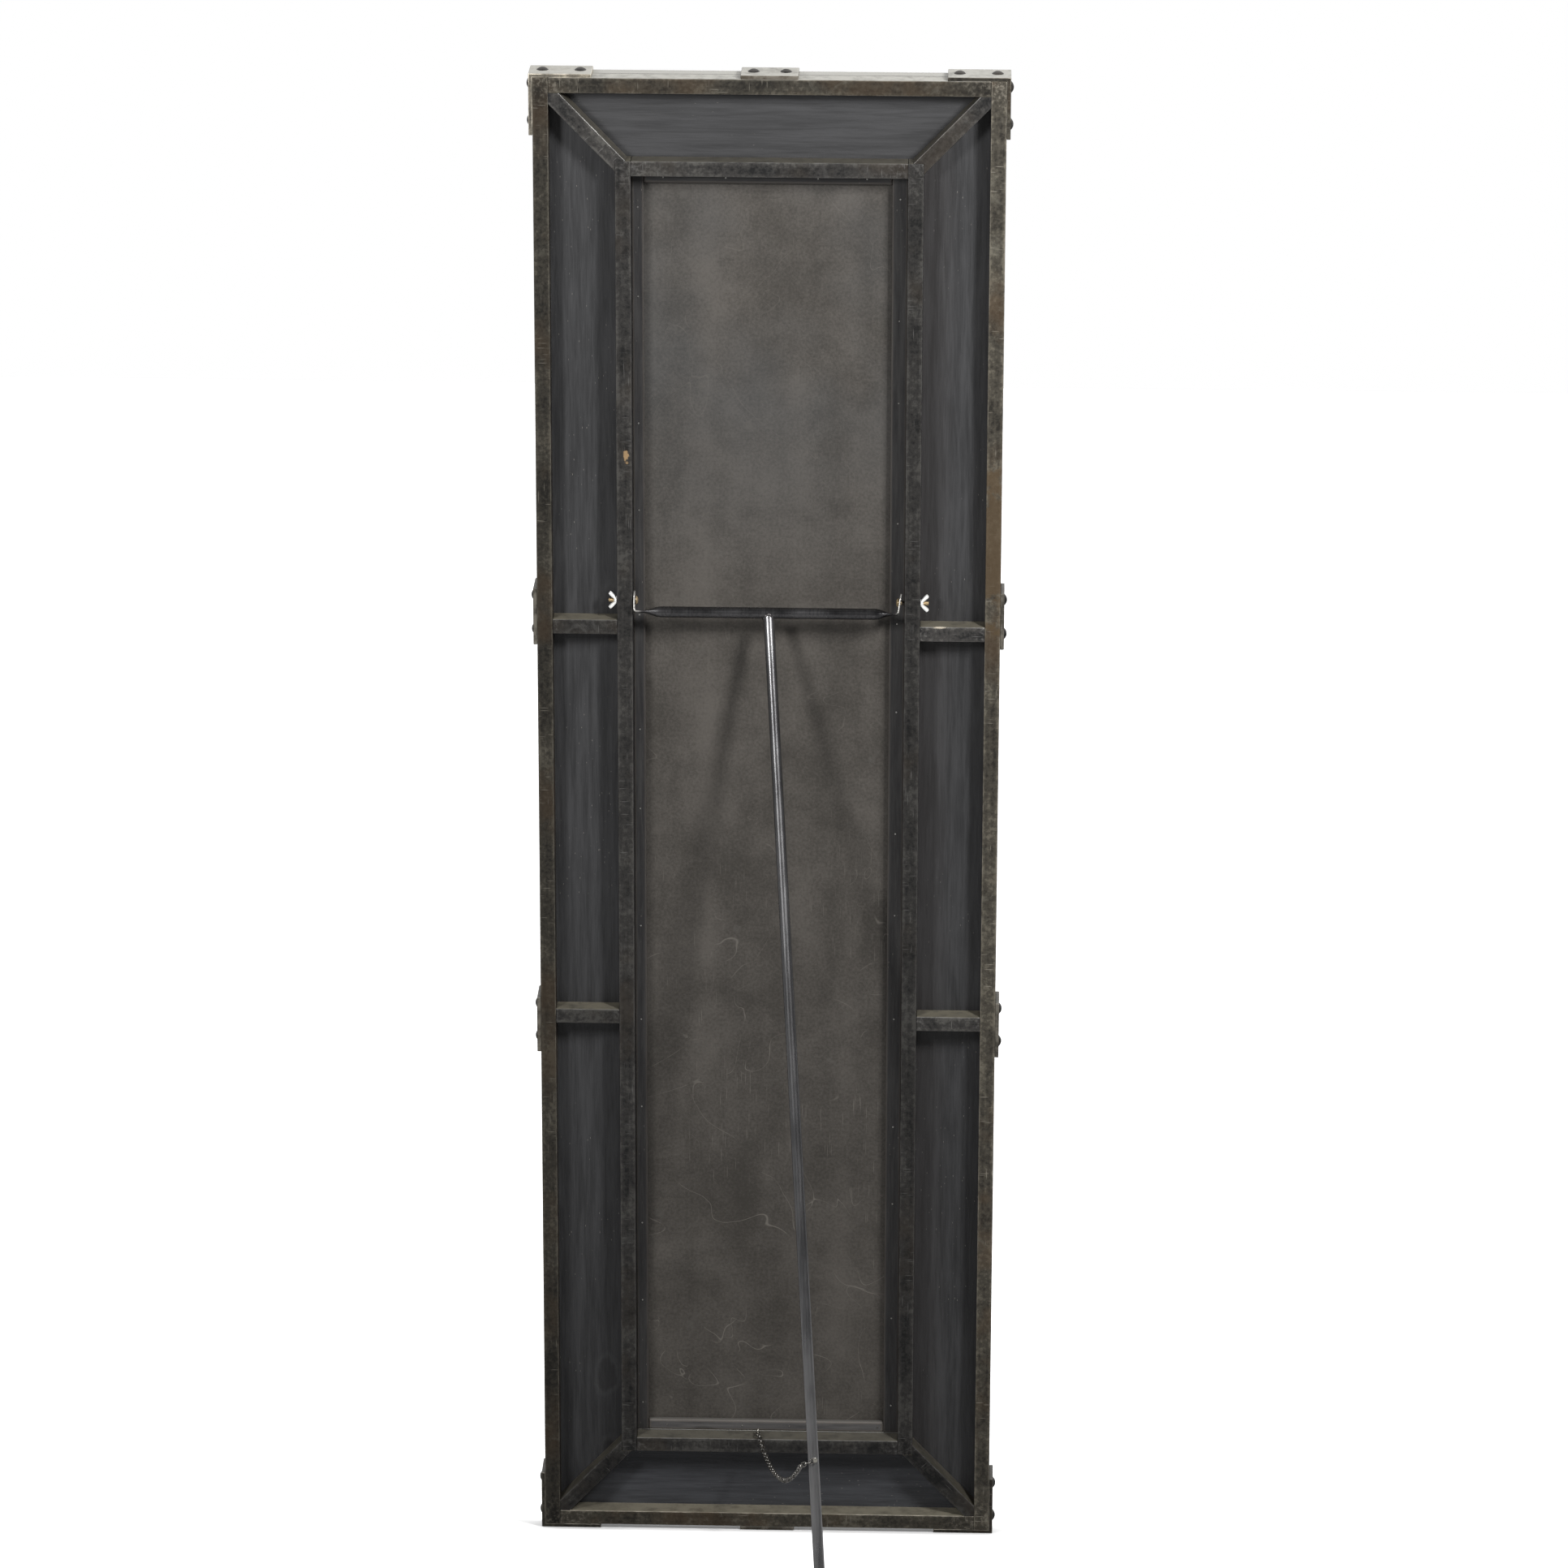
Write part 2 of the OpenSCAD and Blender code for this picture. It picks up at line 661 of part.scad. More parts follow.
// Round-headed screw in the leg, that the last link hangs on
module chain_screw() {
    place = wrap_place(wrap_end, wrap_links * link_pitch + screw_at);
    head_r = 2.9;
    head_t = 1.4;
    neck_out = link_wire / 2 + link_gap;
    color("#c9c7c0") difference() {
        translate(place) rotate([0, 90, wrap_yaw]) {
            translate([0, 0, -plane_off]) cylinder(h = plane_off + neck_out + over, r = chain_screw_r, $fn = 24);
            translate([0, 0, neck_out]) cylinder(h = head_t, r = head_r, $fn = 32);
        }
        on_leg() translate([0, 0, -leg_to_floor]) cylinder(h = leg_to_floor, d = leg_d);
    }
}

// One link along x, lying flat in the xy plane
module link() {
    for (flip = [0, 180]) {
        rotate([0, 0, flip]) translate([link_run, 0, 0]) rotate([0, 0, -90])
            rotate_extrude(angle = 180, $fn = 24)
                translate([link_bend, 0, 0]) circle(d = link_wire, $fn = 16);
        rotate([0, 0, flip]) translate([-link_run, link_bend, 0]) rotate([0, 90, 0])
            cylinder(h = 2 * link_run, d = link_wire, $fn = 16);
    }
}

module limit_chain() {
    color("#8a887f") for (i = [0:chain_links - 1])
        translate(link_point(i)) rotate([90 * (i % 2), -link_slope(i), link_yaw(i)]) link();
}

outer_stile(-1);  // outer_stile_left
outer_stile(1);  // outer_stile_right
outer_rail(frame_h - tube_w);  // outer_rail_top
outer_rail(0);  // outer_rail_bottom
inner_stile(-1);  // inner_stile_left
inner_stile(1);  // inner_stile_right
inner_rail(open_top);  // inner_rail_top
inner_rail(inner_bottom);  // inner_rail_bottom
corner_brace(-1, true);  // corner_brace_top_left
corner_brace(1, true);  // corner_brace_top_right
corner_brace(-1, false);  // corner_brace_bottom_left
corner_brace(1, false);  // corner_brace_bottom_right
side_strut(-1, upper_strut_z);  // side_strut_upper_left
side_strut(1, upper_strut_z);  // side_strut_upper_right
side_strut(-1, lower_strut_z);  // side_strut_lower_left
side_strut(1, lower_strut_z);  // side_strut_lower_right
side_board(-1);  // border_board_left
side_board(1);  // border_board_right
end_board(frame_h, open_top);  // border_board_top
end_board(0, open_bottom);  // border_board_bottom
mirror_glass();
back_panel();
side_strip(-1);  // retaining_strip_left
side_strip(1);  // retaining_strip_right
end_strip(open_top - strip_w);  // retaining_strip_top
end_strip(open_bottom);  // retaining_strip_bottom
strip_nails();
corner_strap(-1, true);  // corner_strap_top_left
corner_strap(1, true);  // corner_strap_top_right
corner_strap(-1, false);  // corner_strap_bottom_left
corner_strap(1, false);  // corner_strap_bottom_right
side_strap(-1, upper_strap_z);  // side_strap_upper_left
side_strap(1, upper_strap_z);  // side_strap_upper_right
side_strap(-1, lower_strap_z);  // side_strap_lower_left
side_strap(1, lower_strap_z);  // side_strap_lower_right
end_strap(true);  // end_strap_top
end_strap(false);  // end_strap_bottom
strap_rivets();
pivot_bolt(-1);  // pivot_bolt_left
pivot_bolt(1);  // pivot_bolt_right
wing_nut(-1);  // wing_nut_left
wing_nut(1);  // wing_nut_right
prop_crossbar();
prop_leg();
leg_weld();
rubber_foot();
chain_eye();
chain_screw();
limit_chain();
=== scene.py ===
"""Easel-back floor mirror, seen from behind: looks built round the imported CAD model.

Lengths are in metres. Positions come from the CAD nodes' own boxes, or repeat values of part.scad.
"""

import math
import random

import bmesh
import bpy
from mathutils import Matrix, Vector


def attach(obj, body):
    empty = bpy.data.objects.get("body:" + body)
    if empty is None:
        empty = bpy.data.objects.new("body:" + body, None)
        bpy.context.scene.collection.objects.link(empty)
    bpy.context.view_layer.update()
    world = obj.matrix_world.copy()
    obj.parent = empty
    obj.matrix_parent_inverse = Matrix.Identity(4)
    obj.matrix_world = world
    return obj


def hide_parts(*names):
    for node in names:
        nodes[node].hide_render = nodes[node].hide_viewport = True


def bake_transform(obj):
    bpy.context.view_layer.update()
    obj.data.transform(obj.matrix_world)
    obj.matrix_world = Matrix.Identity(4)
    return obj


MM = 0.001

# The leaning mirror's own frame: x across, y from the back to the front, z up along the mirror
LEAN = math.radians(14)
SHIFT_Y = 0.214465
LIFT_Z = 0.0048515
ON_MIRROR = Matrix.Translation((0, SHIFT_Y, LIFT_Z)) @ Matrix.Rotation(LEAN, 4, "X")

# The prop leg's frames: round the bolt axis, and down from the crossbar along the leg
PIVOT = Vector((0, -0.095419, 1.276662))
LEG_TILT = math.radians(7)
LEG_SKEW = math.radians(3.8)
EAR_DROP = 15 * MM
ON_PROP = Matrix.Translation(PIVOT) @ Matrix.Rotation(-LEG_TILT, 4, "X")
ON_LEG = ON_PROP @ Matrix.Translation((0, 0, -EAR_DROP)) @ Matrix.Rotation(-LEG_SKEW, 4, "Y")
BAR_R = 7.3 * MM
LEG_R = 7 * MM

# Pivot hardware in the mirror's frame
PIVOT_Y = 7 * MM
PIVOT_Z = 1309 * MM
INNER_X = 196 * MM
OPEN_X = 176 * MM
EAR_GAP = {-1: 1 * MM, 1: 5 * MM}
EAR_T = 2.2 * MM

# Cross-section of the frame's tubes: its rounded edges, the edge band beside them, and how far the
# weld's marks reach from an end of a stile or outer rail, of an inner rail and of a strut
TUBE_W = 20 * MM
TUBE_DEPTH = 28 * MM
TUBE_R = 1.3 * MM
TUBE_BAND = 4 * MM
LONG_END = 45 * MM
RAIL_END = 30 * MM
STRUT_END = 14 * MM

# Flat bar of the straps
STRAP_T = 5 * MM
STRAP_R = 0.9 * MM
STRAP_BAND = 3 * MM

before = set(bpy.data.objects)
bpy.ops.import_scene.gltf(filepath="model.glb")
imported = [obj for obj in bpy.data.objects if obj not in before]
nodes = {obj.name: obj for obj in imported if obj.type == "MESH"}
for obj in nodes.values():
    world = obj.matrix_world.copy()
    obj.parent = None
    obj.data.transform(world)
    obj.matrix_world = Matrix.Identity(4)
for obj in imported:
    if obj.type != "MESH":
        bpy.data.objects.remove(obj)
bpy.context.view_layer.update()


# ---------------------------------------------------------------- materials


class Coat:
    """A procedural material under construction, with short names for the nodes that it needs."""

    def __init__(self, name, turn=(0, 0, 0)):
        self.material = bpy.data.materials.new(name)
        self.material.use_nodes = True
        self.tree = self.material.node_tree
        self.tree.nodes.clear()
        self.output = self.tree.nodes.new("ShaderNodeOutputMaterial")
        self.shader = self.tree.nodes.new("ShaderNodeBsdfPrincipled")
        self.tree.links.new(self.shader.outputs[0], self.output.inputs[0])
        place = self.node("ShaderNodeTexCoord").outputs["Object"]
        if any(turn):
            mapping = self.node("ShaderNodeMapping")
            self.feed(mapping.inputs["Vector"], place)
            mapping.inputs["Rotation"].default_value = turn
            place = mapping.outputs[0]
        self.own = place
        self.place = self.vector("ADD", place, self.attribute("seed", "Vector"))

    def node(self, kind, **settings):
        made = self.tree.nodes.new(kind)
        for key, value in settings.items():
            setattr(made, key, value)
        return made

    def feed(self, socket, value):
        if isinstance(value, bpy.types.NodeSocket):
            self.tree.links.new(value, socket)
        elif isinstance(value, (tuple, list)) and socket.type == "RGBA":
            socket.default_value = (*value, 1)[:4]
        else:
            socket.default_value = value

    def put(self, **values):
        """Sets or links the shader's own inputs, by name with _ for a space."""
        for key, value in values.items():
            self.feed(self.shader.inputs[key.replace("_", " ")], value)
        return self

    def attribute(self, name, output="Fac"):
        return self.node("ShaderNodeAttribute", attribute_name=name).outputs[output]

    def math(self, operation, a, b=0.0, clamp=False):
        made = self.node("ShaderNodeMath", operation=operation, use_clamp=clamp)
        self.feed(made.inputs[0], a)
        self.feed(made.inputs[1], b)
        return made.outputs[0]

    def vector(self, operation, a, b):
        made = self.node("ShaderNodeVectorMath", operation=operation)
        self.feed(made.inputs[0], a)
        self.feed(made.inputs[1], b)
        return made.outputs[0]

    def axes(self, vector):
        made = self.node("ShaderNodeSeparateXYZ")
        self.feed(made.inputs[0], vector)
        return made.outputs

    def mix(self, factor, a, b):
        made = self.node("ShaderNodeMix", data_type="RGBA", clamp_factor=True)
        self.feed(made.inputs[0], factor)
        self.feed(made.inputs[6], a)
        self.feed(made.inputs[7], b)
        return made.outputs[2]

    def window(self, value, low, high, bottom=0.0, top=1.0):
        """A smooth step from bottom to top as value goes from low to high."""
        made = self.node("ShaderNodeMapRange", interpolation_type="SMOOTHSTEP")
        for socket, number in zip(made.inputs, (value, low, high, bottom, top)):
            self.feed(socket, number)
        return made.outputs[0]

    def noise(self, scale, detail=4.0, rough=0.5, distortion=0.0, stretch=None, shift=None):
        place = self.place
        if stretch:
            place = self.vector("MULTIPLY", place, stretch)
        if shift:
            place = self.vector("ADD", place, shift)
        made = self.node("ShaderNodeTexNoise")
        values = {"Scale": scale, "Detail": detail, "Roughness": rough, "Distortion": distortion}
        for key, value in values.items():
            made.inputs[key].default_value = value
        self.feed(made.inputs["Vector"], place)
        return made.outputs[0]

    def lines(self, scale, width, shift, patches=0.5, patch_scale=9.0):
        """Fine wandering lines, the contour of a noise, kept only in some patches."""
        level = self.noise(scale, 1.5, 0.45, 0.6, shift=shift)
        off = self.math("ABSOLUTE", self.math("SUBTRACT", level, 0.5))
        line = self.window(off, width, 0.0)
        patch = self.noise(patch_scale, 3.0, 0.6, shift=shift)
        return self.math("MULTIPLY", line, self.window(patch, patches, patches + 0.06))

    def dashes(self, stretch, size, shift, patches=0.5, patch_scale=12.0, turn=0.0):
        """Short straight scratches along the z axis, turned by an angle in the xz plane."""
        mapping = self.node("ShaderNodeMapping")
        self.feed(mapping.inputs["Vector"], self.place)
        mapping.inputs["Rotation"].default_value = (0, turn, 0)
        mapping.inputs["Location"].default_value = shift
        mapping.inputs["Scale"].default_value = stretch
        cells = self.node("ShaderNodeTexVoronoi", feature="F1")
        cells.inputs["Scale"].default_value = 1.0
        self.feed(cells.inputs["Vector"], mapping.outputs[0])
        dash = self.window(cells.outputs["Distance"], size, size * 0.4)
        patch = self.noise(patch_scale, 3.0, 0.6, shift=shift)
        return self.math("MULTIPLY", dash, self.window(patch, patches, patches + 0.08))

    def length(self, vector):
        made = self.node("ShaderNodeVectorMath", operation="LENGTH")
        self.feed(made.inputs[0], vector)
        return made.outputs[1]

    def spot(self, centre, size, scale=150, ragged=3.0):
        """1 inside a ragged ellipsoid round a point of the piece."""
        away = self.vector("DIVIDE", self.vector("SUBTRACT", self.own, centre), size)
        rim = self.math("MULTIPLY", self.math("SUBTRACT", self.noise(scale, 4, 0.6), 0.5), ragged)
        return self.window(self.math("ADD", self.length(away), rim), 1.1, 0.7)

    def facing_up(self, low=0.45, high=0.85):
        normal = self.node("ShaderNodeNewGeometry").outputs["Normal"]
        return self.window(self.axes(normal)[2], low, high)

    def bump(self, height, distance, strength=1.0):
        made = self.node("ShaderNodeBump")
        made.inputs["Strength"].default_value = strength
        made.inputs["Distance"].default_value = distance
        self.feed(made.inputs["Height"], height)
        self.feed(self.shader.inputs["Normal"], made.outputs[0])
        return self


# Dust on the top of the whole frame, on its other tubes, and how much of a mark covers the steel
PALE_DUST = (0.46, 0.45, 0.41)
TUBE_DUST = (0.135, 0.122, 0.09)
SPOT_COVER = 0.8


def steel(name, dark, mid, light, patch, rust, bare, tube=False, dust=TUBE_DUST, spots=()):
    """Rolled steel with a lacquered patina, dusty on top, bare and lighter along its edges:
    partly wear, partly painted highlight of the rounded edges. Each spot has its place on the
    piece, its size, its colour and the size of its ragged rim's pattern."""
    coat = Coat(name)
    broad = coat.noise(16, 5, 0.65)
    fine = coat.noise(190, 6, 0.7)
    rolled = coat.noise(60, 3, 0.5, stretch=(3.0, 3.0, 0.12))
    tone = coat.math("ADD", coat.math("MULTIPLY", broad, 0.42), coat.math("MULTIPLY", fine, 0.42))
    tone = coat.math("ADD", tone, coat.math("MULTIPLY", rolled, 0.16))
    if tube:
        half = coat.axes(coat.vector("ABSOLUTE", coat.own, (0, 0, 0)))
        from_side = coat.math("SUBTRACT", TUBE_W / 2, half[0])
        near = coat.math("MAXIMUM", from_side, coat.math("SUBTRACT", TUBE_DEPTH / 2, half[1]))
        edge = coat.window(near, 1.5 * MM, 0.3 * MM)
        # Painted highlight: the tone rises a little within a few millimetres of each rounded edge.
        tone = coat.math("ADD", tone, coat.window(near, 5.5 * MM, 0.8 * MM, 0.0, 0.05))
    else:
        edge = coat.attribute("edge")
    colour = coat.mix(coat.window(tone, 0.40, 0.52), dark, mid)
    colour = coat.mix(coat.window(tone, 0.51, 0.61), colour, light)
    rusty = coat.math("MULTIPLY", coat.window(coat.noise(7, 4, 0.6, shift=(3, 1, 2)), 0.5, 0.66), 0.5)
    colour = coat.mix(rusty, colour, rust)
    cloudy = coat.window(coat.noise(26, 6, 0.7, 0.8, shift=(5, 2, 8)), 0.56, 0.74)
    colour = coat.mix(coat.math("MULTIPLY", cloudy, 0.5), colour, patch)
    # Bare colour all along the edges, patchy but never absent: partly wear, partly a painted highlight line.
    edge_wear_and_highlight = coat.window(coat.noise(45, 5, 0.7, shift=(1, 7, 3)), 0.4, 0.62)
    edge_wear_and_highlight = coat.math("MULTIPLY", edge, coat.math("ADD", coat.math("MULTIPLY", edge_wear_and_highlight, 0.5), 0.12))
    scratch = coat.dashes((420, 420, 22), 0.23, (2, 3, 4), 0.56, 12, 0.5)
    second = coat.dashes((26, 380, 420), 0.2, (7, 1, 2), 0.5, 10, 0.12)
    ends = coat.math("MULTIPLY", coat.attribute("end"), coat.window(fine, 0.5, 0.62))
    marks = coat.math("MAXIMUM", coat.math("MAXIMUM", scratch, second), coat.math("MULTIPLY", ends, 0.5))
    shine = coat.math("MAXIMUM", edge_wear_and_highlight, coat.math("MULTIPLY", marks, 0.6))
    colour = coat.mix(shine, colour, bare)
    colour = coat.vector("MULTIPLY", colour, coat.math("ADD", coat.attribute("tone"), 1.0))
    film = coat.window(coat.noise(60, 5, 0.65, shift=(2, 2, 9)), 0.25, 0.6, 0.5, 0.92)
    film = coat.math("MULTIPLY", coat.facing_up(), film)
    colour = coat.mix(film, colour, dust)
    for centre, size, spot_colour, scale in spots:
        cover = coat.math("MULTIPLY", coat.spot(centre, size, scale), SPOT_COVER)
        colour = coat.mix(cover, colour, spot_colour)
    rough = coat.math("ADD", coat.math("MULTIPLY", fine, 0.3), 0.34)
    rough = coat.math("SUBTRACT", rough, coat.math("MULTIPLY", shine, 0.12))
    rough = coat.math("ADD", rough, coat.math("MULTIPLY", film, 0.2), clamp=True)
    metal = coat.math("SUBTRACT", 0.62, coat.math("MULTIPLY", film, 0.6), clamp=True)
    coat.put(Base_Color=colour, Roughness=rough, Metallic=metal)
    height = coat.math("ADD", coat.math("MULTIPLY", fine, 0.6), coat.math("MULTIPLY", rolled, 0.5))
    height = coat.math("SUBTRACT", height, coat.math("MULTIPLY", marks, 0.4))
    return coat.bump(height, 0.12 * MM, 0.8).material


# Knots of the side boards, in the mirror's directions, and the half sizes of a knot and its halo
KNOTS = ((-0.203, 1.247), (-0.217, 0.16), (-0.213, 0.04))
BOARD_Y = 0.24
KNOT_SIZE = (0.014, 1.0, 0.026)
HALO_SIZE = (0.019, 1.0, 0.036)


def wood(name, dark, light, turn, dust=0.85, dust_colour=PALE_DUST):
    """Softwood with its grain along z, stained nearly black."""
    coat = Coat(name, turn)
    wander = coat.noise(3.2, 2, 0.5, stretch=(1, 1, 0.25))
    grain = coat.noise(150, 6, 0.62, 0.4, stretch=(1.0, 1.0, 0.06))
    fibre = coat.noise(620, 4, 0.65, stretch=(1.0, 1.0, 0.04))
    cloud = coat.noise(6, 4, 0.55, shift=(4, 4, 4))
    rings = coat.node("ShaderNodeTexWave", wave_type="BANDS", bands_direction="X")
    rings.inputs["Scale"].default_value = 16
    rings.inputs["Distortion"].default_value = 5.5
    rings.inputs["Detail"].default_value = 3
    rings.inputs["Detail Scale"].default_value = 1.2
    coat.feed(rings.inputs["Vector"], coat.vector("MULTIPLY", coat.place, (1.0, 1.0, 0.09)))
    tone = coat.math("ADD", coat.math("MULTIPLY", grain, 0.55), coat.math("MULTIPLY", rings.outputs[1], 0.02))
    tone = coat.math("ADD", tone, coat.math("MULTIPLY", cloud, 0.19))
    tone = coat.math("ADD", tone, coat.math("MULTIPLY", fibre, 0.24))
    tone = coat.math("SUBTRACT", tone, coat.math("MULTIPLY", wander, 0.04))
    colour = coat.mix(coat.window(tone, 0.33, 0.63), dark, light)
    pale = coat.window(coat.noise(10, 5, 0.65, 0.5, stretch=(1, 1, 0.3), shift=(8, 1, 6)), 0.6, 0.78)
    colour = coat.mix(coat.math("MULTIPLY", pale, 0.15), colour, (0.075, 0.072, 0.066))
    cells = coat.node("ShaderNodeTexVoronoi", feature="F1")
    cells.inputs["Scale"].default_value = 5.2
    coat.feed(cells.inputs["Vector"], coat.vector("MULTIPLY", coat.place, (1.4, 1.0, 0.6)))
    spot = coat.math("ADD", cells.outputs["Distance"], coat.math("MULTIPLY", grain, 0.06))
    knot = coat.window(spot, 0.105, 0.075)
    for x, z in KNOTS:
        ring = coat.spot((x, BOARD_Y, z), KNOT_SIZE, 60, 1.0)
        halo = coat.math("SUBTRACT", coat.spot((x, BOARD_Y, z), HALO_SIZE, 60, 1.0), ring)
        colour = coat.mix(coat.math("MULTIPLY", halo, 0.18), colour, (0.09, 0.09, 0.09))
        knot = coat.math("MAXIMUM", knot, coat.math("MULTIPLY", ring, 0.45))
    colour = coat.mix(coat.math("MULTIPLY", knot, 0.75), colour, (0.012, 0.011, 0.011))
    nicks = coat.dashes((300, 300, 60), 0.1, (1, 2, 3), 0.5, 7)
    colour = coat.mix(coat.math("MULTIPLY", nicks, 0.7), colour, (0.3, 0.28, 0.25))
    # Lighter brown on rounded edges (only the strips carry the edge attribute): partly wear, partly painted
    # highlight.
    edge = coat.math("MULTIPLY", coat.attribute("edge"), 0.35)
    colour = coat.mix(edge, colour, (0.1, 0.085, 0.07))
    warm = coat.window(coat.axes(coat.own)[0], 0.25, 0.2, 0.0, 0.35)
    warm = coat.math("MULTIPLY", warm, coat.window(coat.axes(coat.own)[0], 0.17, 0.19))
    colour = coat.mix(warm, colour, (0.036, 0.030, 0.028))
    film = coat.math("MULTIPLY", coat.facing_up(), dust)
    colour = coat.vector("MULTIPLY", colour, coat.math("ADD", coat.attribute("tone"), 1.0))
    colour = coat.mix(film, colour, dust_colour)
    rough = coat.math("ADD", coat.math("MULTIPLY", grain, 0.3), 0.42)
    coat.put(Base_Color=colour, Roughness=rough, Specular_IOR_Level=0.4)
    height = coat.math("ADD", coat.math("MULTIPLY", grain, 0.8), coat.math("MULTIPLY", fibre, 0.4))
    height = coat.math("SUBTRACT", height, coat.math("MULTIPLY", knot, 0.3))
    return coat.bump(height, 0.35 * MM, 0.8).material


def hardboard():
    """Smooth brown-grey fibreboard, mottled, with pale scribbled scratches low down."""
    coat = Coat("hardboard", (-LEAN, 0, 0))
    broad = coat.noise(2.6, 3, 0.55)
    cloud = coat.noise(11, 7, 0.68, 0.3)
    speck = coat.noise(260, 4, 0.7)
    streak = coat.noise(22, 3, 0.5, stretch=(1.0, 1.0, 0.04))
    tone = coat.math("ADD", coat.math("MULTIPLY", broad, 0.13), coat.math("MULTIPLY", cloud, 0.38))
    tone = coat.math("ADD", tone, coat.math("MULTIPLY", streak, 0.16))
    tone = coat.math("ADD", tone, coat.math("MULTIPLY", speck, 0.33))
    colour = coat.mix(coat.window(tone, 0.36, 0.64), (0.038, 0.034, 0.029), (0.092, 0.083, 0.073))
    high = coat.window(coat.axes(coat.own)[2], 1.2, 1.6, 0.0, 0.5)
    cool = coat.math("MULTIPLY", high, coat.window(broad, 0.4, 0.62, 0.0, 0.7))
    colour = coat.mix(cool, colour, (0.050, 0.056, 0.062))
    spots = coat.window(coat.noise(34, 2, 0.5, shift=(2, 9, 4)), 0.68, 0.78)
    colour = coat.mix(coat.math("MULTIPLY", spots, 0.35), colour, (0.085, 0.08, 0.072))
    low = coat.window(coat.axes(coat.own)[2], 1.25, 0.5, 0.25, 1.0)
    marks = coat.lines(7.5, 0.0022, (4, 5, 6), 0.5)
    marks = coat.math("MAXIMUM", marks, coat.lines(15, 0.0035, (9, 3, 1), 0.56))
    marks = coat.math("MAXIMUM", marks, coat.dashes((520, 520, 14), 0.18, (1, 4, 2), 0.52, 6, 0.25))
    marks = coat.math("MULTIPLY", marks, low)
    colour = coat.mix(coat.math("MULTIPLY", marks, 0.62), colour, (0.18, 0.165, 0.145))
    coat.put(Base_Color=colour, Roughness=coat.window(cloud, 0.3, 0.7, 0.5, 0.66))
    coat.put(Specular_IOR_Level=0.35)
    return coat.bump(coat.math("ADD", speck, cloud), 0.06 * MM, 0.7).material


def plain_metal(name, dark, light, low, high, scale=180.0, metallic=1.0, distance=0.04):
    """Bare metal with fine mottling. low and high are the ends of its roughness."""
    coat = Coat(name)
    broad = coat.noise(scale / 8, 4, 0.6)
    fine = coat.noise(scale, 5, 0.65)
    tone = coat.math("ADD", coat.math("MULTIPLY", broad, 0.5), coat.math("MULTIPLY", fine, 0.5))
    colour = coat.mix(coat.window(tone, 0.34, 0.66), dark, light)
    coat.put(Base_Color=colour, Roughness=coat.window(fine, 0.3, 0.7, low, high), Metallic=metallic)
    return coat.bump(fine, distance * MM, 0.7).material


def brass():
    """Dull brass at the bolts' ends, with painted shade on the shank in the gap between ear and stile."""
    coat = Coat("bolt_brass")
    fine = coat.noise(400, 5, 0.65)
    colour = coat.mix(coat.window(fine, 0.34, 0.66), (0.34, 0.24, 0.12), (0.66, 0.52, 0.32))
    far = coat.math("ABSOLUTE", coat.axes(coat.own)[0])
    # Painted shade: the shank turns nearly black between the ear and the stile, where shade falls.
    gap = coat.window(far, OPEN_X - 5 * MM, OPEN_X - 3.8 * MM)
    gap = coat.math("MULTIPLY", gap, coat.window(far, INNER_X + MM, INNER_X))
    colour = coat.mix(coat.math("MULTIPLY", gap, 0.93), colour, (0.02, 0.018, 0.016))
    coat.put(Base_Color=colour, Roughness=coat.window(fine, 0.3, 0.7, 0.24, 0.45), Metallic=0.6)
    return coat.bump(fine, 0.04 * MM, 0.7).material


# Distance from the middle at which the crossbar's pressed, unlacquered ends begin and are bare
PRESSED_FROM = 162 * MM
PRESSED_TO = 170 * MM


def leg_steel(name, dark, light, low, high):
    """Cold-drawn tube, dark and glossy, with fine lines along it and a few scratches. low and high
    are the ends of its roughness."""
    coat = Coat(name, (LEG_TILT, 0, 0))
    drawn = coat.noise(420, 4, 0.55, stretch=(1.0, 1.0, 0.01))
    cloud = coat.noise(22, 5, 0.6, stretch=(1.0, 1.0, 0.35))
    tone = coat.math("ADD", coat.math("MULTIPLY", drawn, 0.45), coat.math("MULTIPLY", cloud, 0.55))
    colour = coat.mix(coat.window(tone, 0.34, 0.66), dark, light)
    rub = coat.dashes((500, 500, 60), 0.17, (3, 2, 1), 0.55, 14, 0.7)
    colour = coat.mix(coat.math("MULTIPLY", rub, 0.7), colour, (0.36, 0.35, 0.33))
    far = coat.math("ABSOLUTE", coat.axes(coat.own)[0])
    pressed = coat.window(far, PRESSED_FROM, PRESSED_TO, 0.0, 0.6)
    colour = coat.mix(pressed, colour, (0.62, 0.60, 0.56))
    metal = coat.math("SUBTRACT", 0.93, coat.math("MULTIPLY", pressed, 0.83))
    coat.put(Base_Color=colour, Roughness=coat.window(cloud, 0.3, 0.7, low, high), Metallic=metal)
    return coat.bump(drawn, 0.03 * MM, 0.6).material


def rubber():
    """Matt black rubber, scuffed grey in places."""
    coat = Coat("black_rubber")
    grain = coat.noise(900, 3, 0.6)
    scuff = coat.window(coat.noise(70, 4, 0.6), 0.5, 0.7)
    colour = coat.mix(coat.math("MULTIPLY", scuff, 0.6), (0.014, 0.014, 0.015), (0.05, 0.048, 0.045))
    coat.put(Base_Color=colour, Roughness=coat.window(grain, 0.3, 0.7, 0.6, 0.8))
    return coat.bump(grain, 0.08 * MM, 0.8).material


def silvered_glass():
    """The looking glass, seen from the front: a silvered sheet with a faint haze."""
    coat = Coat("mirror_glass")
    haze = coat.noise(9, 5, 0.6)
    colour = coat.mix(coat.window(haze, 0.3, 0.7), (0.50, 0.53, 0.535), (0.57, 0.595, 0.60))
    coat.put(Base_Color=colour, Roughness=coat.window(haze, 0.35, 0.75, 0.015, 0.05), Metallic=1.0)
    return coat.material
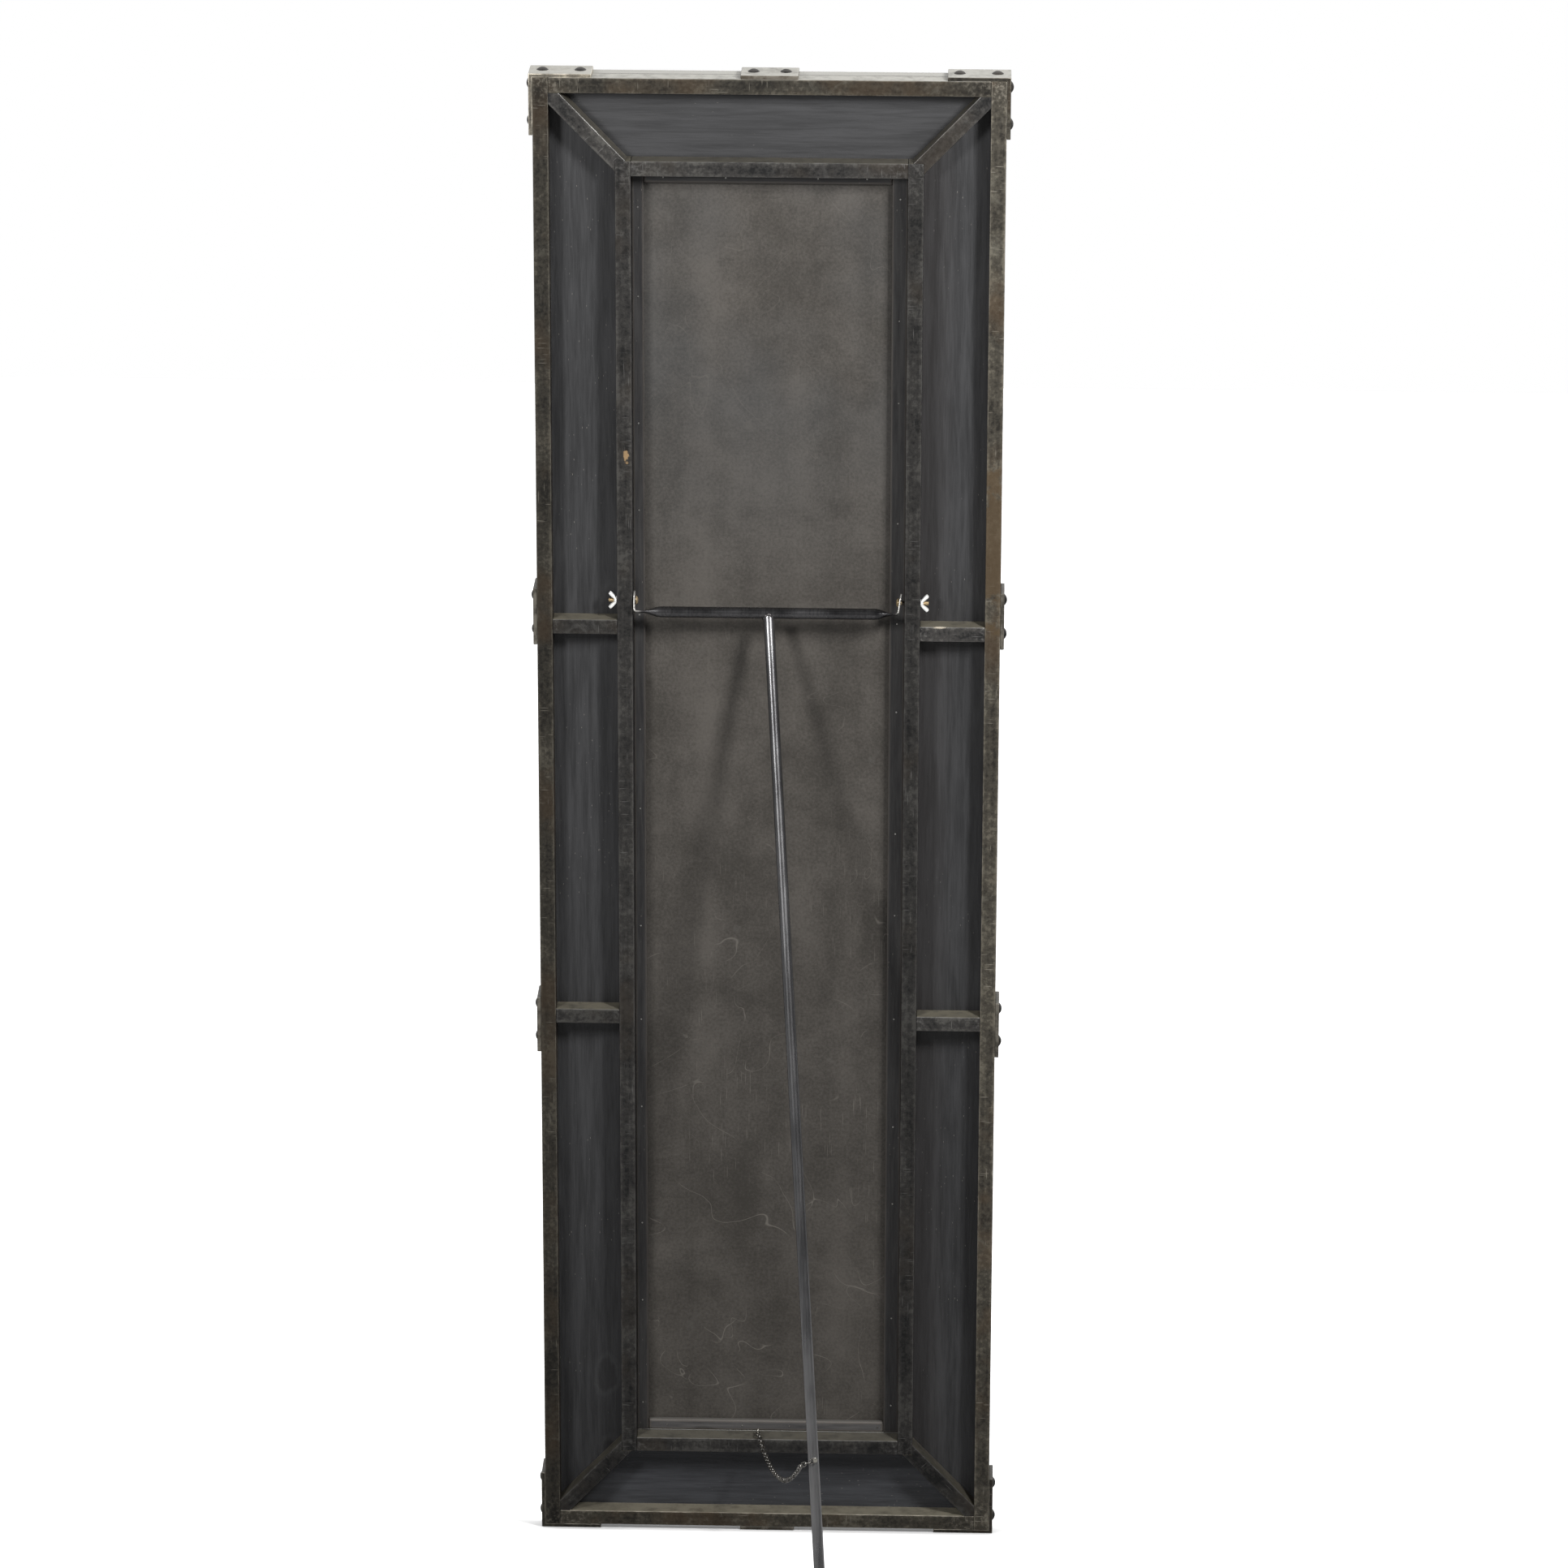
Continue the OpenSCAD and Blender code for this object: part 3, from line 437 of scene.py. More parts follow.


# In these colour sets, bare is bare steel for scratches and for the edges, where it also serves as painted
# highlight.
WORN_BROWN = dict(
    dark=(0.020, 0.018, 0.015),
    mid=(0.048, 0.043, 0.034),
    light=(0.100, 0.090, 0.070),
    patch=(0.13, 0.122, 0.098),
    rust=(0.070, 0.046, 0.026),
    bare=(0.30, 0.275, 0.23),
)
DARK_GREY = dict(
    dark=(0.014, 0.014, 0.014),
    mid=(0.038, 0.036, 0.034),
    light=(0.075, 0.072, 0.066),
    patch=(0.080, 0.078, 0.074),
    rust=(0.050, 0.040, 0.030),
    bare=(0.17, 0.165, 0.16),
)
BRACE_GREY = {**DARK_GREY, "patch": (0.13, 0.128, 0.12)}
# Marks on single tubes, from the tube's middle: a patch rubbed golden by hands, a spot of rust, and
# lacquer chipped off an upper edge
RUBBED = ((0, -0.014, 0.39), (0.03, 0.05, 0.10), (0.125, 0.086, 0.048), 34)
RUST_MARK = ((0.0025, -0.014, 0.505), (0.0035, 0.006, 0.009), (0.50, 0.33, 0.17), 160)
CHIP = ((-0.0095, -0.014, -0.016), (0.0018, 0.003, 0.008), (0.62, 0.55, 0.44), 1400)
# Grain upright, and grain across, in the leaning boards
UPRIGHT = (-LEAN, 0, 0)
ACROSS = (-LEAN, math.radians(90), 0)
LEG_DARK, LEG_LIGHT = (0.21, 0.208, 0.214), (0.36, 0.356, 0.36)
BAR_DARK, BAR_LIGHT = (0.06, 0.059, 0.062), (0.14, 0.137, 0.14)
WELD_DARK, WELD_LIGHT = (0.06, 0.055, 0.055), (0.20, 0.19, 0.19)
STRIP_DARK, STRIP_LIGHT = (0.024, 0.023, 0.024), (0.058, 0.056, 0.055)
STRIP_DUST = (0.10, 0.095, 0.085)
COATS = {
    "outer_steel": steel("outer_steel", tube=True, dust=(0.185, 0.168, 0.125), **WORN_BROWN),
    "top_steel": steel("top_steel", tube=True, dust=PALE_DUST, **WORN_BROWN),
    "rubbed_steel": steel("rubbed_steel", tube=True, spots=[RUBBED], **WORN_BROWN),
    "inner_steel": steel("inner_steel", tube=True, dust=(0.10, 0.092, 0.072), **DARK_GREY),
    "rusty_steel": steel("rusty_steel", tube=True, spots=[RUST_MARK], **DARK_GREY),
    "brace_steel": steel("brace_steel", tube=True, **BRACE_GREY),
    "chipped_steel": steel("chipped_steel", tube=True, spots=[CHIP], **BRACE_GREY),
    "top_strap_steel": steel("top_strap_steel", dust=PALE_DUST, **WORN_BROWN),
    "strap_steel": steel("strap_steel", dust=(0.09, 0.085, 0.075), **WORN_BROWN),
    "rivet_steel": steel("rivet_steel", dust=(0.06, 0.055, 0.05), **DARK_GREY),
    "wood_up": wood("wood_up", (0.019, 0.019, 0.020), (0.043, 0.043, 0.045), UPRIGHT),
    "wood_low": wood("wood_low", (0.033, 0.034, 0.038), (0.062, 0.064, 0.071), ACROSS),
    "wood_across": wood("wood_across", (0.027, 0.027, 0.028), (0.047, 0.047, 0.049), ACROSS),
    "strip_wood": wood("strip_wood", STRIP_DARK, STRIP_LIGHT, (0, 0, 0), 0.6, STRIP_DUST),
    "hardboard": hardboard(),
    "mirror_glass": silvered_glass(),
    "nail_steel": plain_metal("nail_steel", (0.30, 0.29, 0.27), (0.62, 0.61, 0.58), 0.25, 0.5),
    "bolt_brass": brass(),
    # The wing nuts' zinc is near-white and barely metallic: painted sheen standing in for the bright
    # reflections of plated metal.
    "zinc": plain_metal("zinc", (0.74, 0.74, 0.72), (0.92, 0.92, 0.90), 0.25, 0.4, 300, 0.15),
    "leg_steel": leg_steel("leg_steel", LEG_DARK, LEG_LIGHT, 0.23, 0.30),
    "crossbar_steel": leg_steel("crossbar_steel", BAR_DARK, BAR_LIGHT, 0.2, 0.32),
    "weld_steel": plain_metal("weld_steel", WELD_DARK, WELD_LIGHT, 0.3, 0.5, 700, 0.9, 0.12),
    "black_rubber": rubber(),
    "chain_steel": plain_metal("chain_steel", (0.07, 0.067, 0.063), (0.50, 0.48, 0.45), 0.2, 0.4, 500),
    "eye_steel": plain_metal("eye_steel", (0.30, 0.28, 0.24), (0.62, 0.60, 0.54), 0.28, 0.45, 500),
}


# ---------------------------------------------------------------- pieces


def paint(piece, *coats):
    piece.data.materials.clear()
    for coat in coats:
        piece.data.materials.append(COATS[coat])


# How much lighter than its coat a piece is, as a share of the coat's own colour
TONE = {
    "outer_stile_left": -0.1,
    "outer_stile_right": 0.75,
    "outer_rail_top": 0.1,
    "outer_rail_bottom": 0.65,
    "inner_rail_bottom": 0.25,
    "inner_rail_top": 0.25,
    "inner_stile_left": 0.1,
    "side_strut_upper_right": 0.9,
    "corner_brace_top_left": 0.35,
    "corner_brace_top_right": 0.25,
    "side_strut_lower_right": 0.5,
    "corner_strap_top_left": 3.0,
    "retaining_strip_bottom": 0.9,
}


def new_piece(name, mesh, matrix, coat, body="mirror", replaces=()):
    """A mesh as a piece of the object, in place, on its body."""
    random_seed = random.Random(name)
    seed = mesh.attributes.new("seed", "FLOAT_VECTOR", "POINT")
    offset = [random_seed.uniform(-40, 40) for _ in range(3)]
    seed.data.foreach_set("vector", offset * len(mesh.vertices))
    tone = mesh.attributes.new("tone", "FLOAT", "POINT")
    tone.data.foreach_set("value", [TONE.get(name.removesuffix("_shape"), 0.0)] * len(mesh.vertices))
    edge = mesh.attributes.get("edge")
    if edge and edge.domain == "FACE":
        mesh.polygons.foreach_set("use_smooth", [value.value > 0.5 for value in edge.data])
    else:
        mesh.polygons.foreach_set("use_smooth", [True] * len(mesh.polygons))
    piece = bpy.data.objects.new(name, mesh)
    bpy.context.scene.collection.objects.link(piece)
    piece.matrix_world = matrix
    paint(piece, coat)
    if body:
        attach(piece, body)
    if replaces:
        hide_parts(*replaces)
    return piece


def mirror_box(node):
    """Lowest and highest corner of a CAD node in the leaning mirror's frame."""
    back = ON_MIRROR.inverted()
    points = [back @ v.co for v in nodes[node].data.vertices]
    low = Vector([min(p[i] for p in points) for i in range(3)])
    high = Vector([max(p[i] for p in points) for i in range(3)])
    return low, high


def loop_places(length, radius, band, end):
    """Where the cross loops of a rounded box lie along one axis: two in each rounded edge, one at
    the inner side of the edge band, and one where an end's marks fade out."""
    half = length / 2
    insets = [0.0, 0.586 * radius, radius]
    insets += [inset for inset in (band, end) if radius < inset < half * 0.95]
    places = {round(half - inset, 7) for inset in insets}
    return sorted(places | {-place for place in places} | ({0.0} if half > 0.2 else set()))


def rounded_box(size, radius, band, end=0.0):
    """A box round the origin with rounded edges. edge is 1 on them and 0 beyond the edge band;
    end is 1 at the two ends of the long z axis."""
    half = [s / 2 for s in size]
    places = [loop_places(s, radius, band, end if i == 2 else 0) for i, s in enumerate(size)]
    bm = bmesh.new()
    edge_layer = bm.verts.layers.float.new("edge")
    end_layer = bm.verts.layers.float.new("end")
    corners = {}

    def corner(point):
        if point not in corners:
            inner = [max(-h + radius, min(h - radius, p)) for p, h in zip(point, half)]
            out = Vector(point) - Vector(inner)
            vert = bm.verts.new(Vector(inner) + out.normalized() * radius)
            near = sorted(h - abs(p) for p, h in zip(point, half))[1]
            vert[edge_layer] = max(0.0, min(1.0, 1 - (near - radius) / (band - radius)))
            away = half[2] - abs(point[2])
            vert[end_layer] = max(0.0, 1 - away / end) if end else 0.0
            corners[point] = vert
        return corners[point]

    for axis in range(3):
        u, v = (axis + 1) % 3, (axis + 2) % 3
        for side in (-1, 1):
            for u0, u1 in zip(places[u], places[u][1:]):
                for v0, v1 in zip(places[v], places[v][1:]):
                    ring = []
                    for a, b in ((u0, v0), (u1, v0), (u1, v1), (u0, v1)):
                        point = [0.0, 0.0, 0.0]
                        point[axis] = side * max(places[axis])
                        point[u], point[v] = a, b
                        ring.append(corner(tuple(point)))
                    bm.faces.new(ring if side > 0 else ring[::-1])
    mesh = bpy.data.meshes.new("rounded_box")
    bm.to_mesh(mesh)
    bm.free()
    return mesh


def slab(node, along, radius, band, coat, end=0.0):
    """A box-shaped CAD node rebuilt with rounded edges, its own z axis along its length."""
    low, high = mirror_box(node)
    size = high - low
    turn = Matrix.Identity(4)
    if along == "x":
        turn = Matrix.Rotation(math.radians(90), 4, "Y")
        size = Vector((size.z, size.y, size.x))
    matrix = ON_MIRROR @ Matrix.Translation((low + high) / 2) @ turn
    mesh = rounded_box(size, radius, band, end)
    return new_piece(f"{node}_shape", mesh, matrix, coat, replaces=[node])


for side in ("left", "right"):
    coat = "rubbed_steel" if side == "right" else "outer_steel"
    slab(f"outer_stile_{side}", "z", TUBE_R, TUBE_BAND, coat, LONG_END)
    coat = "rusty_steel" if side == "left" else "inner_steel"
    slab(f"inner_stile_{side}", "z", TUBE_R, TUBE_BAND, coat, LONG_END)
    for level in ("upper", "lower"):
        coat = "chipped_steel" if (side, level) == ("right", "upper") else "brace_steel"
        slab(f"side_strut_{level}_{side}", "x", TUBE_R, TUBE_BAND, coat, STRUT_END)
        slab(f"side_strap_{level}_{side}", "z", STRAP_R, STRAP_BAND, "strap_steel")
for level in ("top", "bottom"):
    coat = "top_steel" if level == "top" else "outer_steel"
    slab(f"outer_rail_{level}", "x", TUBE_R, TUBE_BAND, coat, LONG_END)
    slab(f"inner_rail_{level}", "x", TUBE_R, TUBE_BAND, "inner_steel", RAIL_END)
    coat = "top_strap_steel" if level == "top" else "strap_steel"
    slab(f"end_strap_{level}", "x", STRAP_R, STRAP_BAND, coat)
    slab(f"retaining_strip_{level}", "x", 2.5 * MM, 4 * MM, "strip_wood")
for side in ("left", "right"):
    slab(f"retaining_strip_{side}", "z", 1.2 * MM, 3 * MM, "strip_wood")


def bevelled(bm, edges, radius, segments=3):
    """Bevels edges and marks the new faces in the edge attribute."""
    layer = bm.faces.layers.float.get("edge") or bm.faces.layers.float.new("edge")
    made = bmesh.ops.bevel(
        bm, geom=edges, offset=radius, segments=segments, profile=0.5, affect="EDGES", clamp_overlap=True
    )
    for face in made["faces"]:
        face[layer] = 1.0


# How far a brace goes across, and up at the top and at the bottom of the frame
BRACE_ACROSS = 84 * MM
BRACE_UP = {"top": 87 * MM, "bottom": 89 * MM}


def brace(side, level):
    """A diagonal brace, with the mitred ends of its CAD node and rounded long edges."""
    node = f"corner_brace_{level}_{side}"
    low, high = mirror_box(node)
    rise = 1 if (side == "right") == (level == "top") else -1
    angle = math.atan2(BRACE_ACROSS, BRACE_UP[level]) * rise
    matrix = ON_MIRROR @ Matrix.Translation((low + high) / 2) @ Matrix.Rotation(angle, 4, "Y")
    bm = bmesh.new()
    bm.from_mesh(nodes[node].data)
    bmesh.ops.remove_doubles(bm, verts=bm.verts, dist=1e-5)
    bmesh.ops.transform(bm, matrix=matrix.inverted(), verts=bm.verts)
    bmesh.ops.dissolve_limit(bm, angle_limit=math.radians(2), verts=bm.verts, edges=bm.edges)
    # The brace's axis is centred between its four outer long edges
    across = [v.co.x for v in bm.verts]
    centre = Vector(((max(across) + min(across)) / 2, 0, 0))
    bmesh.ops.translate(bm, vec=-centre, verts=bm.verts)
    matrix = matrix @ Matrix.Translation(centre)
    long_edges = []
    for edge in bm.edges:
        a, b = (v.co for v in edge.verts)
        span = b - a
        straight = abs(span.z) > 0.99 * span.length
        outside = abs(abs(a.y) - TUBE_DEPTH / 2) < 0.3 * MM and abs(abs(a.x) - TUBE_W / 2) < 0.6 * MM
        if straight and outside:
            long_edges.append(edge)
    bevelled(bm, long_edges, TUBE_R)
    mesh = bpy.data.meshes.new(node)
    bm.to_mesh(mesh)
    bm.free()
    new_piece(f"{node}_shape", mesh, matrix, "brace_steel", replaces=[node])


for side in ("left", "right"):
    for level in ("top", "bottom"):
        brace(side, level)


def corner_strap(side, level):
    """An L of flat bar round a corner of the frame, its edges rounded off."""
    node = f"corner_strap_{level}_{side}"
    low, high = mirror_box(node)
    out = 1 if side == "right" else -1
    up = 1 if level == "top" else -1
    reach = high.x - low.x
    corner = Vector((high.x if out > 0 else low.x, 0, high.z if up > 0 else low.z))
    outline = [
        (0, 0),
        (reach, 0),
        (reach, STRAP_T),
        (STRAP_T, STRAP_T),
        (STRAP_T, reach),
        (0, reach),
    ]
    bm = bmesh.new()
    depth = high.y - low.y
    back = [bm.verts.new((-out * x, -depth / 2, -up * z)) for x, z in outline]
    front = [bm.verts.new((v.co.x, depth / 2, v.co.z)) for v in back]
    bm.faces.new(back)
    bm.faces.new(front[::-1])
    for i in range(6):
        j = (i + 1) % 6
        bm.faces.new((back[j], back[i], front[i], front[j]))
    bmesh.ops.recalc_face_normals(bm, faces=bm.faces)
    inner = [e for e in bm.edges if {back[3], front[3]} == set(e.verts)]
    bevelled(bm, [e for e in bm.edges if e not in inner], STRAP_R, 2)
    mesh = bpy.data.meshes.new(node)
    bm.to_mesh(mesh)
    bm.free()
    matrix = ON_MIRROR @ Matrix.Translation(corner + Vector((0, (low.y + high.y) / 2, 0)))
    coat = "top_strap_steel" if level == "top" else "strap_steel"
    new_piece(f"{node}_shape", mesh, matrix, coat, replaces=[node])


for side in ("left", "right"):
    for level in ("top", "bottom"):
        corner_strap(side, level)


# Rounding of the boards' edges
BOARD_R = 0.7 * MM


def soften(node, radius):
    """Small rounded edges on a CAD node, by modifiers only."""
    piece = nodes[node]
    weld = piece.modifiers.new("weld", "WELD")
    weld.merge_threshold = 0.01 * MM
    bevel = piece.modifiers.new("bevel", "BEVEL")
    bevel.width = radius
    bevel.segments = 2
    bevel.limit_method = "ANGLE"
    bevel.angle_limit = math.radians(40)


for side in ("left", "right"):
    paint(nodes[f"border_board_{side}"], "wood_up")
    soften(f"border_board_{side}", BOARD_R)
for level in ("top", "bottom"):
    paint(nodes[f"border_board_{level}"], "wood_across" if level == "top" else "wood_low")
    soften(f"border_board_{level}", BOARD_R)
paint(nodes["back_panel"], "hardboard")
paint(nodes["mirror_glass"], "mirror_glass")
paint(nodes["strip_nails"], "nail_steel")
paint(nodes["strap_rivets"], "rivet_steel")
paint(nodes["prop_leg"], "leg_steel")
paint(nodes["rubber_foot"], "black_rubber")
paint(nodes["chain_eye"], "eye_steel")
paint(nodes["chain_screw"], "eye_steel")


# ---------------------------------------------------------------- prop leg


def loft(rings, closed_ends=True):
    """A mesh through rings of points, each ring with the same number of points."""
    bm = bmesh.new()
    rows = [[bm.verts.new(p) for p in ring] for ring in rings]
    count = len(rows[0])
    for one, two in zip(rows, rows[1:]):
        for i in range(count):
            j = (i + 1) % count
            bm.faces.new((one[i], one[j], two[j], two[i]))
    if closed_ends:
        bm.faces.new(rows[0][::-1])
        bm.faces.new(rows[-1])
    bmesh.ops.recalc_face_normals(bm, faces=bm.faces)
    mesh = bpy.data.meshes.new("loft")
    bm.to_mesh(mesh)
    bm.free()
    return mesh


def smooth(t):
    t = max(0.0, min(1.0, t))
    return t * t * (3 - 2 * t)


def bar_ring(centre, normal, flat, half_wide, half_thick, count=40):
    """A ring between a circle (flat 0) and a flat rounded strip (flat 1). normal is the direction
    through the strip; the width lies along y."""
    ring = []
    for i in range(count):
        angle = 2 * math.pi * i / count
        c, s = math.cos(angle), math.sin(angle)
        power = 1 - 0.62 * flat
        wide = math.copysign(abs(c) ** power, c)
        thick = math.copysign(abs(s) ** power, s)
        a = (1 - flat) * BAR_R * c + flat * half_wide * wide
        b = (1 - flat) * BAR_R * s + flat * half_thick * thick
        ring.append(centre + Vector((0, a, 0)) + normal * b)
    return ring


def half_crossbar(side):
    """The rings' middles, normals, flatness and half widths from the middle to one ear's tip. The
    ear leans a little away from the middle where its gap is wide."""
    ear_half = 11 * MM
    ear_tip = 12 * MM
    bend = 3.2 * MM
    ear_x = OPEN_X - EAR_GAP[side] - EAR_T / 2
    lean = (EAR_GAP[side] - 1 * MM) * 35
    taper_in = 138 * MM
    flat_in = ear_x - 9 * MM
    half = []
    for step in range(9):
        x = taper_in * step / 8
        half.append((Vector((x, 0, -EAR_DROP)), Vector((0, 0, 1)), 0.0, ear_half))
    for step in range(1, 13):
        x = taper_in + (flat_in - taper_in) * step / 12
        half.append((Vector((x, 0, -EAR_DROP)), Vector((0, 0, 1)), smooth(step / 12), ear_half))
    for step in range(0, 9):
        angle = math.radians(90 * step / 8)
        z = -EAR_DROP + bend - bend * math.cos(angle)
        x = ear_x - bend + bend * math.sin(angle) + lean * z
        normal = Vector((-math.sin(angle), 0, math.cos(angle)))
        half.append((Vector((x, 0, z)), normal, 1.0, ear_half))
    top = ear_tip - 0.15 * MM
    for step in range(1, 18):
        z = -EAR_DROP + bend + (top + EAR_DROP - bend) * math.sin(math.radians(90 * step / 17))
        wide = ear_half if z < 0 else min(ear_half, math.sqrt(max(0.0, ear_tip**2 - z**2)))
        half.append((Vector((ear_x + lean * z, 0, z)), Vector((-1, 0, 0)), 1.0, max(wide, 0.6 * MM)))
    return half


def crossbar():
    """The crossbar: round in the middle, pressed flat at its ends, which bend up into round ears."""
    rings = []
    for centre, normal, flat, wide in reversed(half_crossbar(-1)[1:]):
        mirrored = Vector((-centre.x, centre.y, centre.z))
        away = Vector((-normal.x, normal.y, normal.z))
        rings.append(bar_ring(mirrored, away, flat, wide, EAR_T / 2))
    for centre, normal, flat, wide in half_crossbar(1):
        rings.append(bar_ring(centre, normal, flat, wide, EAR_T / 2))
    new_piece(
        "prop_crossbar_shape", loft(rings), ON_PROP, "crossbar_steel", "leg", ["prop_crossbar"]
    )


crossbar()


def weld_bead():
    """A rippled bead where the leg tube meets the underside of the crossbar."""
    rings = []
    count = 96
    for i in range(count + 1):
        turn = 2 * math.pi * i / count
        ripple = 0.22 * math.sin(14 * turn) + 0.12 * math.sin(5 * turn + 1)
        radius = (1.75 + ripple) * MM
        x, y = LEG_R * math.cos(turn), LEG_R * math.sin(turn)
        across = min(abs(y), BAR_R * 0.97)
        z = -math.sqrt(BAR_R**2 - across**2)
        centre = Vector((x, y, z - 0.2 * MM))
        out = Vector((math.cos(turn), math.sin(turn), 0))
        ring = []
        for k in range(12):
            a = 2 * math.pi * k / 12
            ring.append(centre + out * radius * 0.8 * math.cos(a) + Vector((0, 0, radius * math.sin(a))))
        rings.append(ring)
    mesh = loft(rings, closed_ends=False)
    new_piece("leg_weld_shape", mesh, ON_LEG, "weld_steel", "leg", ["leg_weld"])


weld_bead()


# ---------------------------------------------------------------- bolts and wing nuts


def lathe(profile, count=40):
    """A closed solid turned about the x axis from (x, radius) points that start and end on it."""
    rings = []
    for x, radius in profile:
        radius = max(radius, 0.01 * MM)
        ring = []
        for i in range(count):
            angle = 2 * math.pi * i / count
            ring.append(Vector((x, radius * math.cos(angle), radius * math.sin(angle))))
        rings.append(ring)
    return loft(rings)


def bolt(side):
    """Domed head inside the ear, and a threaded end that passes through the stile and the nut."""
    head_x = OPEN_X - EAR_GAP[side] - EAR_T - 0.4 * MM
    head_h, head_r, shank_r = 3.5 * MM, 6 * MM, 2.6 * MM
    end = INNER_X + 10.9 * MM
    profile = []
    for step in range(12):
        angle = math.radians(90 * step / 11)
        profile.append((head_x - head_h * math.cos(angle), head_r * math.sin(angle)))
    profile.append((head_x, head_r - 0.3 * MM))
    profile.append((head_x, shank_r))
    count = 40
    pitch = 0.8 * MM
    thread_from = INNER_X - 2 * MM
    x = head_x
    while x < end:
        x += 0.1 * MM
        profile.append((x, shank_r))
    profile.append((end, shank_r * 0.5))
    rings = []
    for x, radius in profile:
        ring = []
        for i in range(count):
            angle = 2 * math.pi * i / count
            r = max(radius, 0.01 * MM)
            if x > thread_from and radius == shank_r:
                phase = (x / pitch + i / count) % 1
                chamfer = min(1.0, (end - x) / (0.8 * MM))
                r = (2.25 + 0.4 * (1 - abs(2 * phase - 1)) * chamfer) * MM
            ring.append(Vector((x * side, r * math.cos(angle), r * math.sin(angle) * side)))
        rings.append(ring)
    name = "left" if side < 0 else "right"
    matrix = ON_MIRROR @ Matrix.Translation((0, PIVOT_Y, PIVOT_Z))
    new_piece(
        f"pivot_bolt_{name}_shape", loft(rings), matrix, "bolt_brass", "mirror",
        [f"pivot_bolt_{name}"],
    )


def wing_nut(side):
    """A forged nut: short round hub and two wings that flare outwards, thick at the root and rounded."""
    name = "left" if side < 0 else "right"
    base = INNER_X + 0.3 * MM
    # Path of one wing from the hub's middle to its tip: axial, radial, half thickness, half width
    path = [
        (1.6, 0.0, 1.6, 4.6),
        (1.6, 1.6, 1.6, 4.6),
        (2.6, 3.2, 2.0, 4.5),
        (4.4, 5.1, 2.3, 4.4),
        (6.4, 7.0, 2.4, 4.3),
        (8.4, 8.9, 2.4, 4.2),
        (9.6, 10.1, 2.3, 3.8),
        (9.9, 10.4, 1.5, 2.6),
    ]
    rows = [(a, -r, t, w) for a, r, t, w in reversed(path[1:])] + path
    rings = []
    for i, (axial, radial, thick, wide) in enumerate(rows):
        before, after = rows[max(0, i - 1)], rows[min(len(rows) - 1, i + 1)]
        along = Vector((after[0] - before[0], after[1] - before[1])).normalized()
        normal = Vector((-along.y, along.x))
        ring = []
        for k in range(16):
            angle = 2 * math.pi * k / 16
            c, s = math.cos(angle), math.sin(angle)
            w = wide * math.copysign(abs(c) ** 0.55, c)
            t = thick * math.copysign(abs(s) ** 0.7, s)
            ring.append(
                Vector(((axial + normal.x * t) * MM, (radial + normal.y * t) * MM, w * MM))
            )
        rings.append(ring)
    bm = bmesh.new()
    bm.from_mesh(loft(rings))
    hub = lathe(
        [(0.05 * MM, 0.0), (0.05 * MM, 4.7 * MM), (0.5 * MM, 5.1 * MM), (2.0 * MM, 5.0 * MM),
         (3.6 * MM, 4.1 * MM), (4.0 * MM, 3.7 * MM), (4.0 * MM, 0.0)]
    )
    bm.from_mesh(hub)
    if side < 0:
        bmesh.ops.scale(bm, vec=(-1, 1, 1), verts=bm.verts)
        bmesh.ops.reverse_faces(bm, faces=bm.faces)
    mesh = bpy.data.meshes.new("wing_nut")
    bm.to_mesh(mesh)
    bm.free()
    place = Matrix.Translation((side * base, PIVOT_Y, PIVOT_Z)) @ Matrix.Rotation(math.radians(90), 4, "X")
    piece = new_piece(
        f"wing_nut_{name}_shape", mesh, ON_MIRROR @ place, "zinc", f"{name}_nut",
        [f"wing_nut_{name}"],
    )
    smooth_over = piece.modifiers.new("smooth", "SUBSURF")
    smooth_over.levels = smooth_over.render_levels = 2


for side in (-1, 1):
    bolt(side)
    wing_nut(side)


# ---------------------------------------------------------------- chain


def chain():
    """The CAD chain's links between the mirror and the leg, as one mesh with doubled points merged."""
    bm = bmesh.new()
    bm.from_mesh(nodes["limit_chain"].data)
    bmesh.ops.remove_doubles(bm, verts=bm.verts, dist=0.005 * MM)
    mesh = bpy.data.meshes.new("limit_chain")
    bm.to_mesh(mesh)
    bm.free()
    piece = new_piece(
        "limit_chain_shape", mesh, Matrix.Identity(4), "chain_steel", None, ["limit_chain"]
    )
    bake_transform(piece)


chain()


# ---------------------------------------------------------------- stage, lights and camera

# Strength of the room's light from the prop leg's side, and from above and the front
ROOM_DIM = 0.03
ROOM_BRIGHT = 1.5
BRIGHT_SIDE = (0, 0.75, 0.66)

FLOOR_REACH = 60
# Middle of the mirror's foot, and the distances from it over which the floor's glow sets in
FOOT_Y = SHIFT_Y + 0.02
GLOW_FROM = 0.02
GLOW_TO = 0.05

# The two lamps: place and power. Both are upright rectangles aimed at the mirror's middle
LAMPS = {
    "key_left": ((-1.51, -2.45, 2.08), 50),
    "key_right": ((1.53, -2.25, 2.5), 91),
}
LAMP_TARGET = (0, 0, 1.1)
LAMP_W = 0.4
LAMP_H = 0.65

# The photograph's view: about nine metres behind the mirror, a little above its middle
EYE = (0.2776, -9.0417, 1.7866)
VIEW_FORWARD = (-0.02844, 0.99613, -0.08314)
VIEW_UP = (-0.01217, 0.08282, 0.99649)
LENS = 159.0
SENSOR = 36


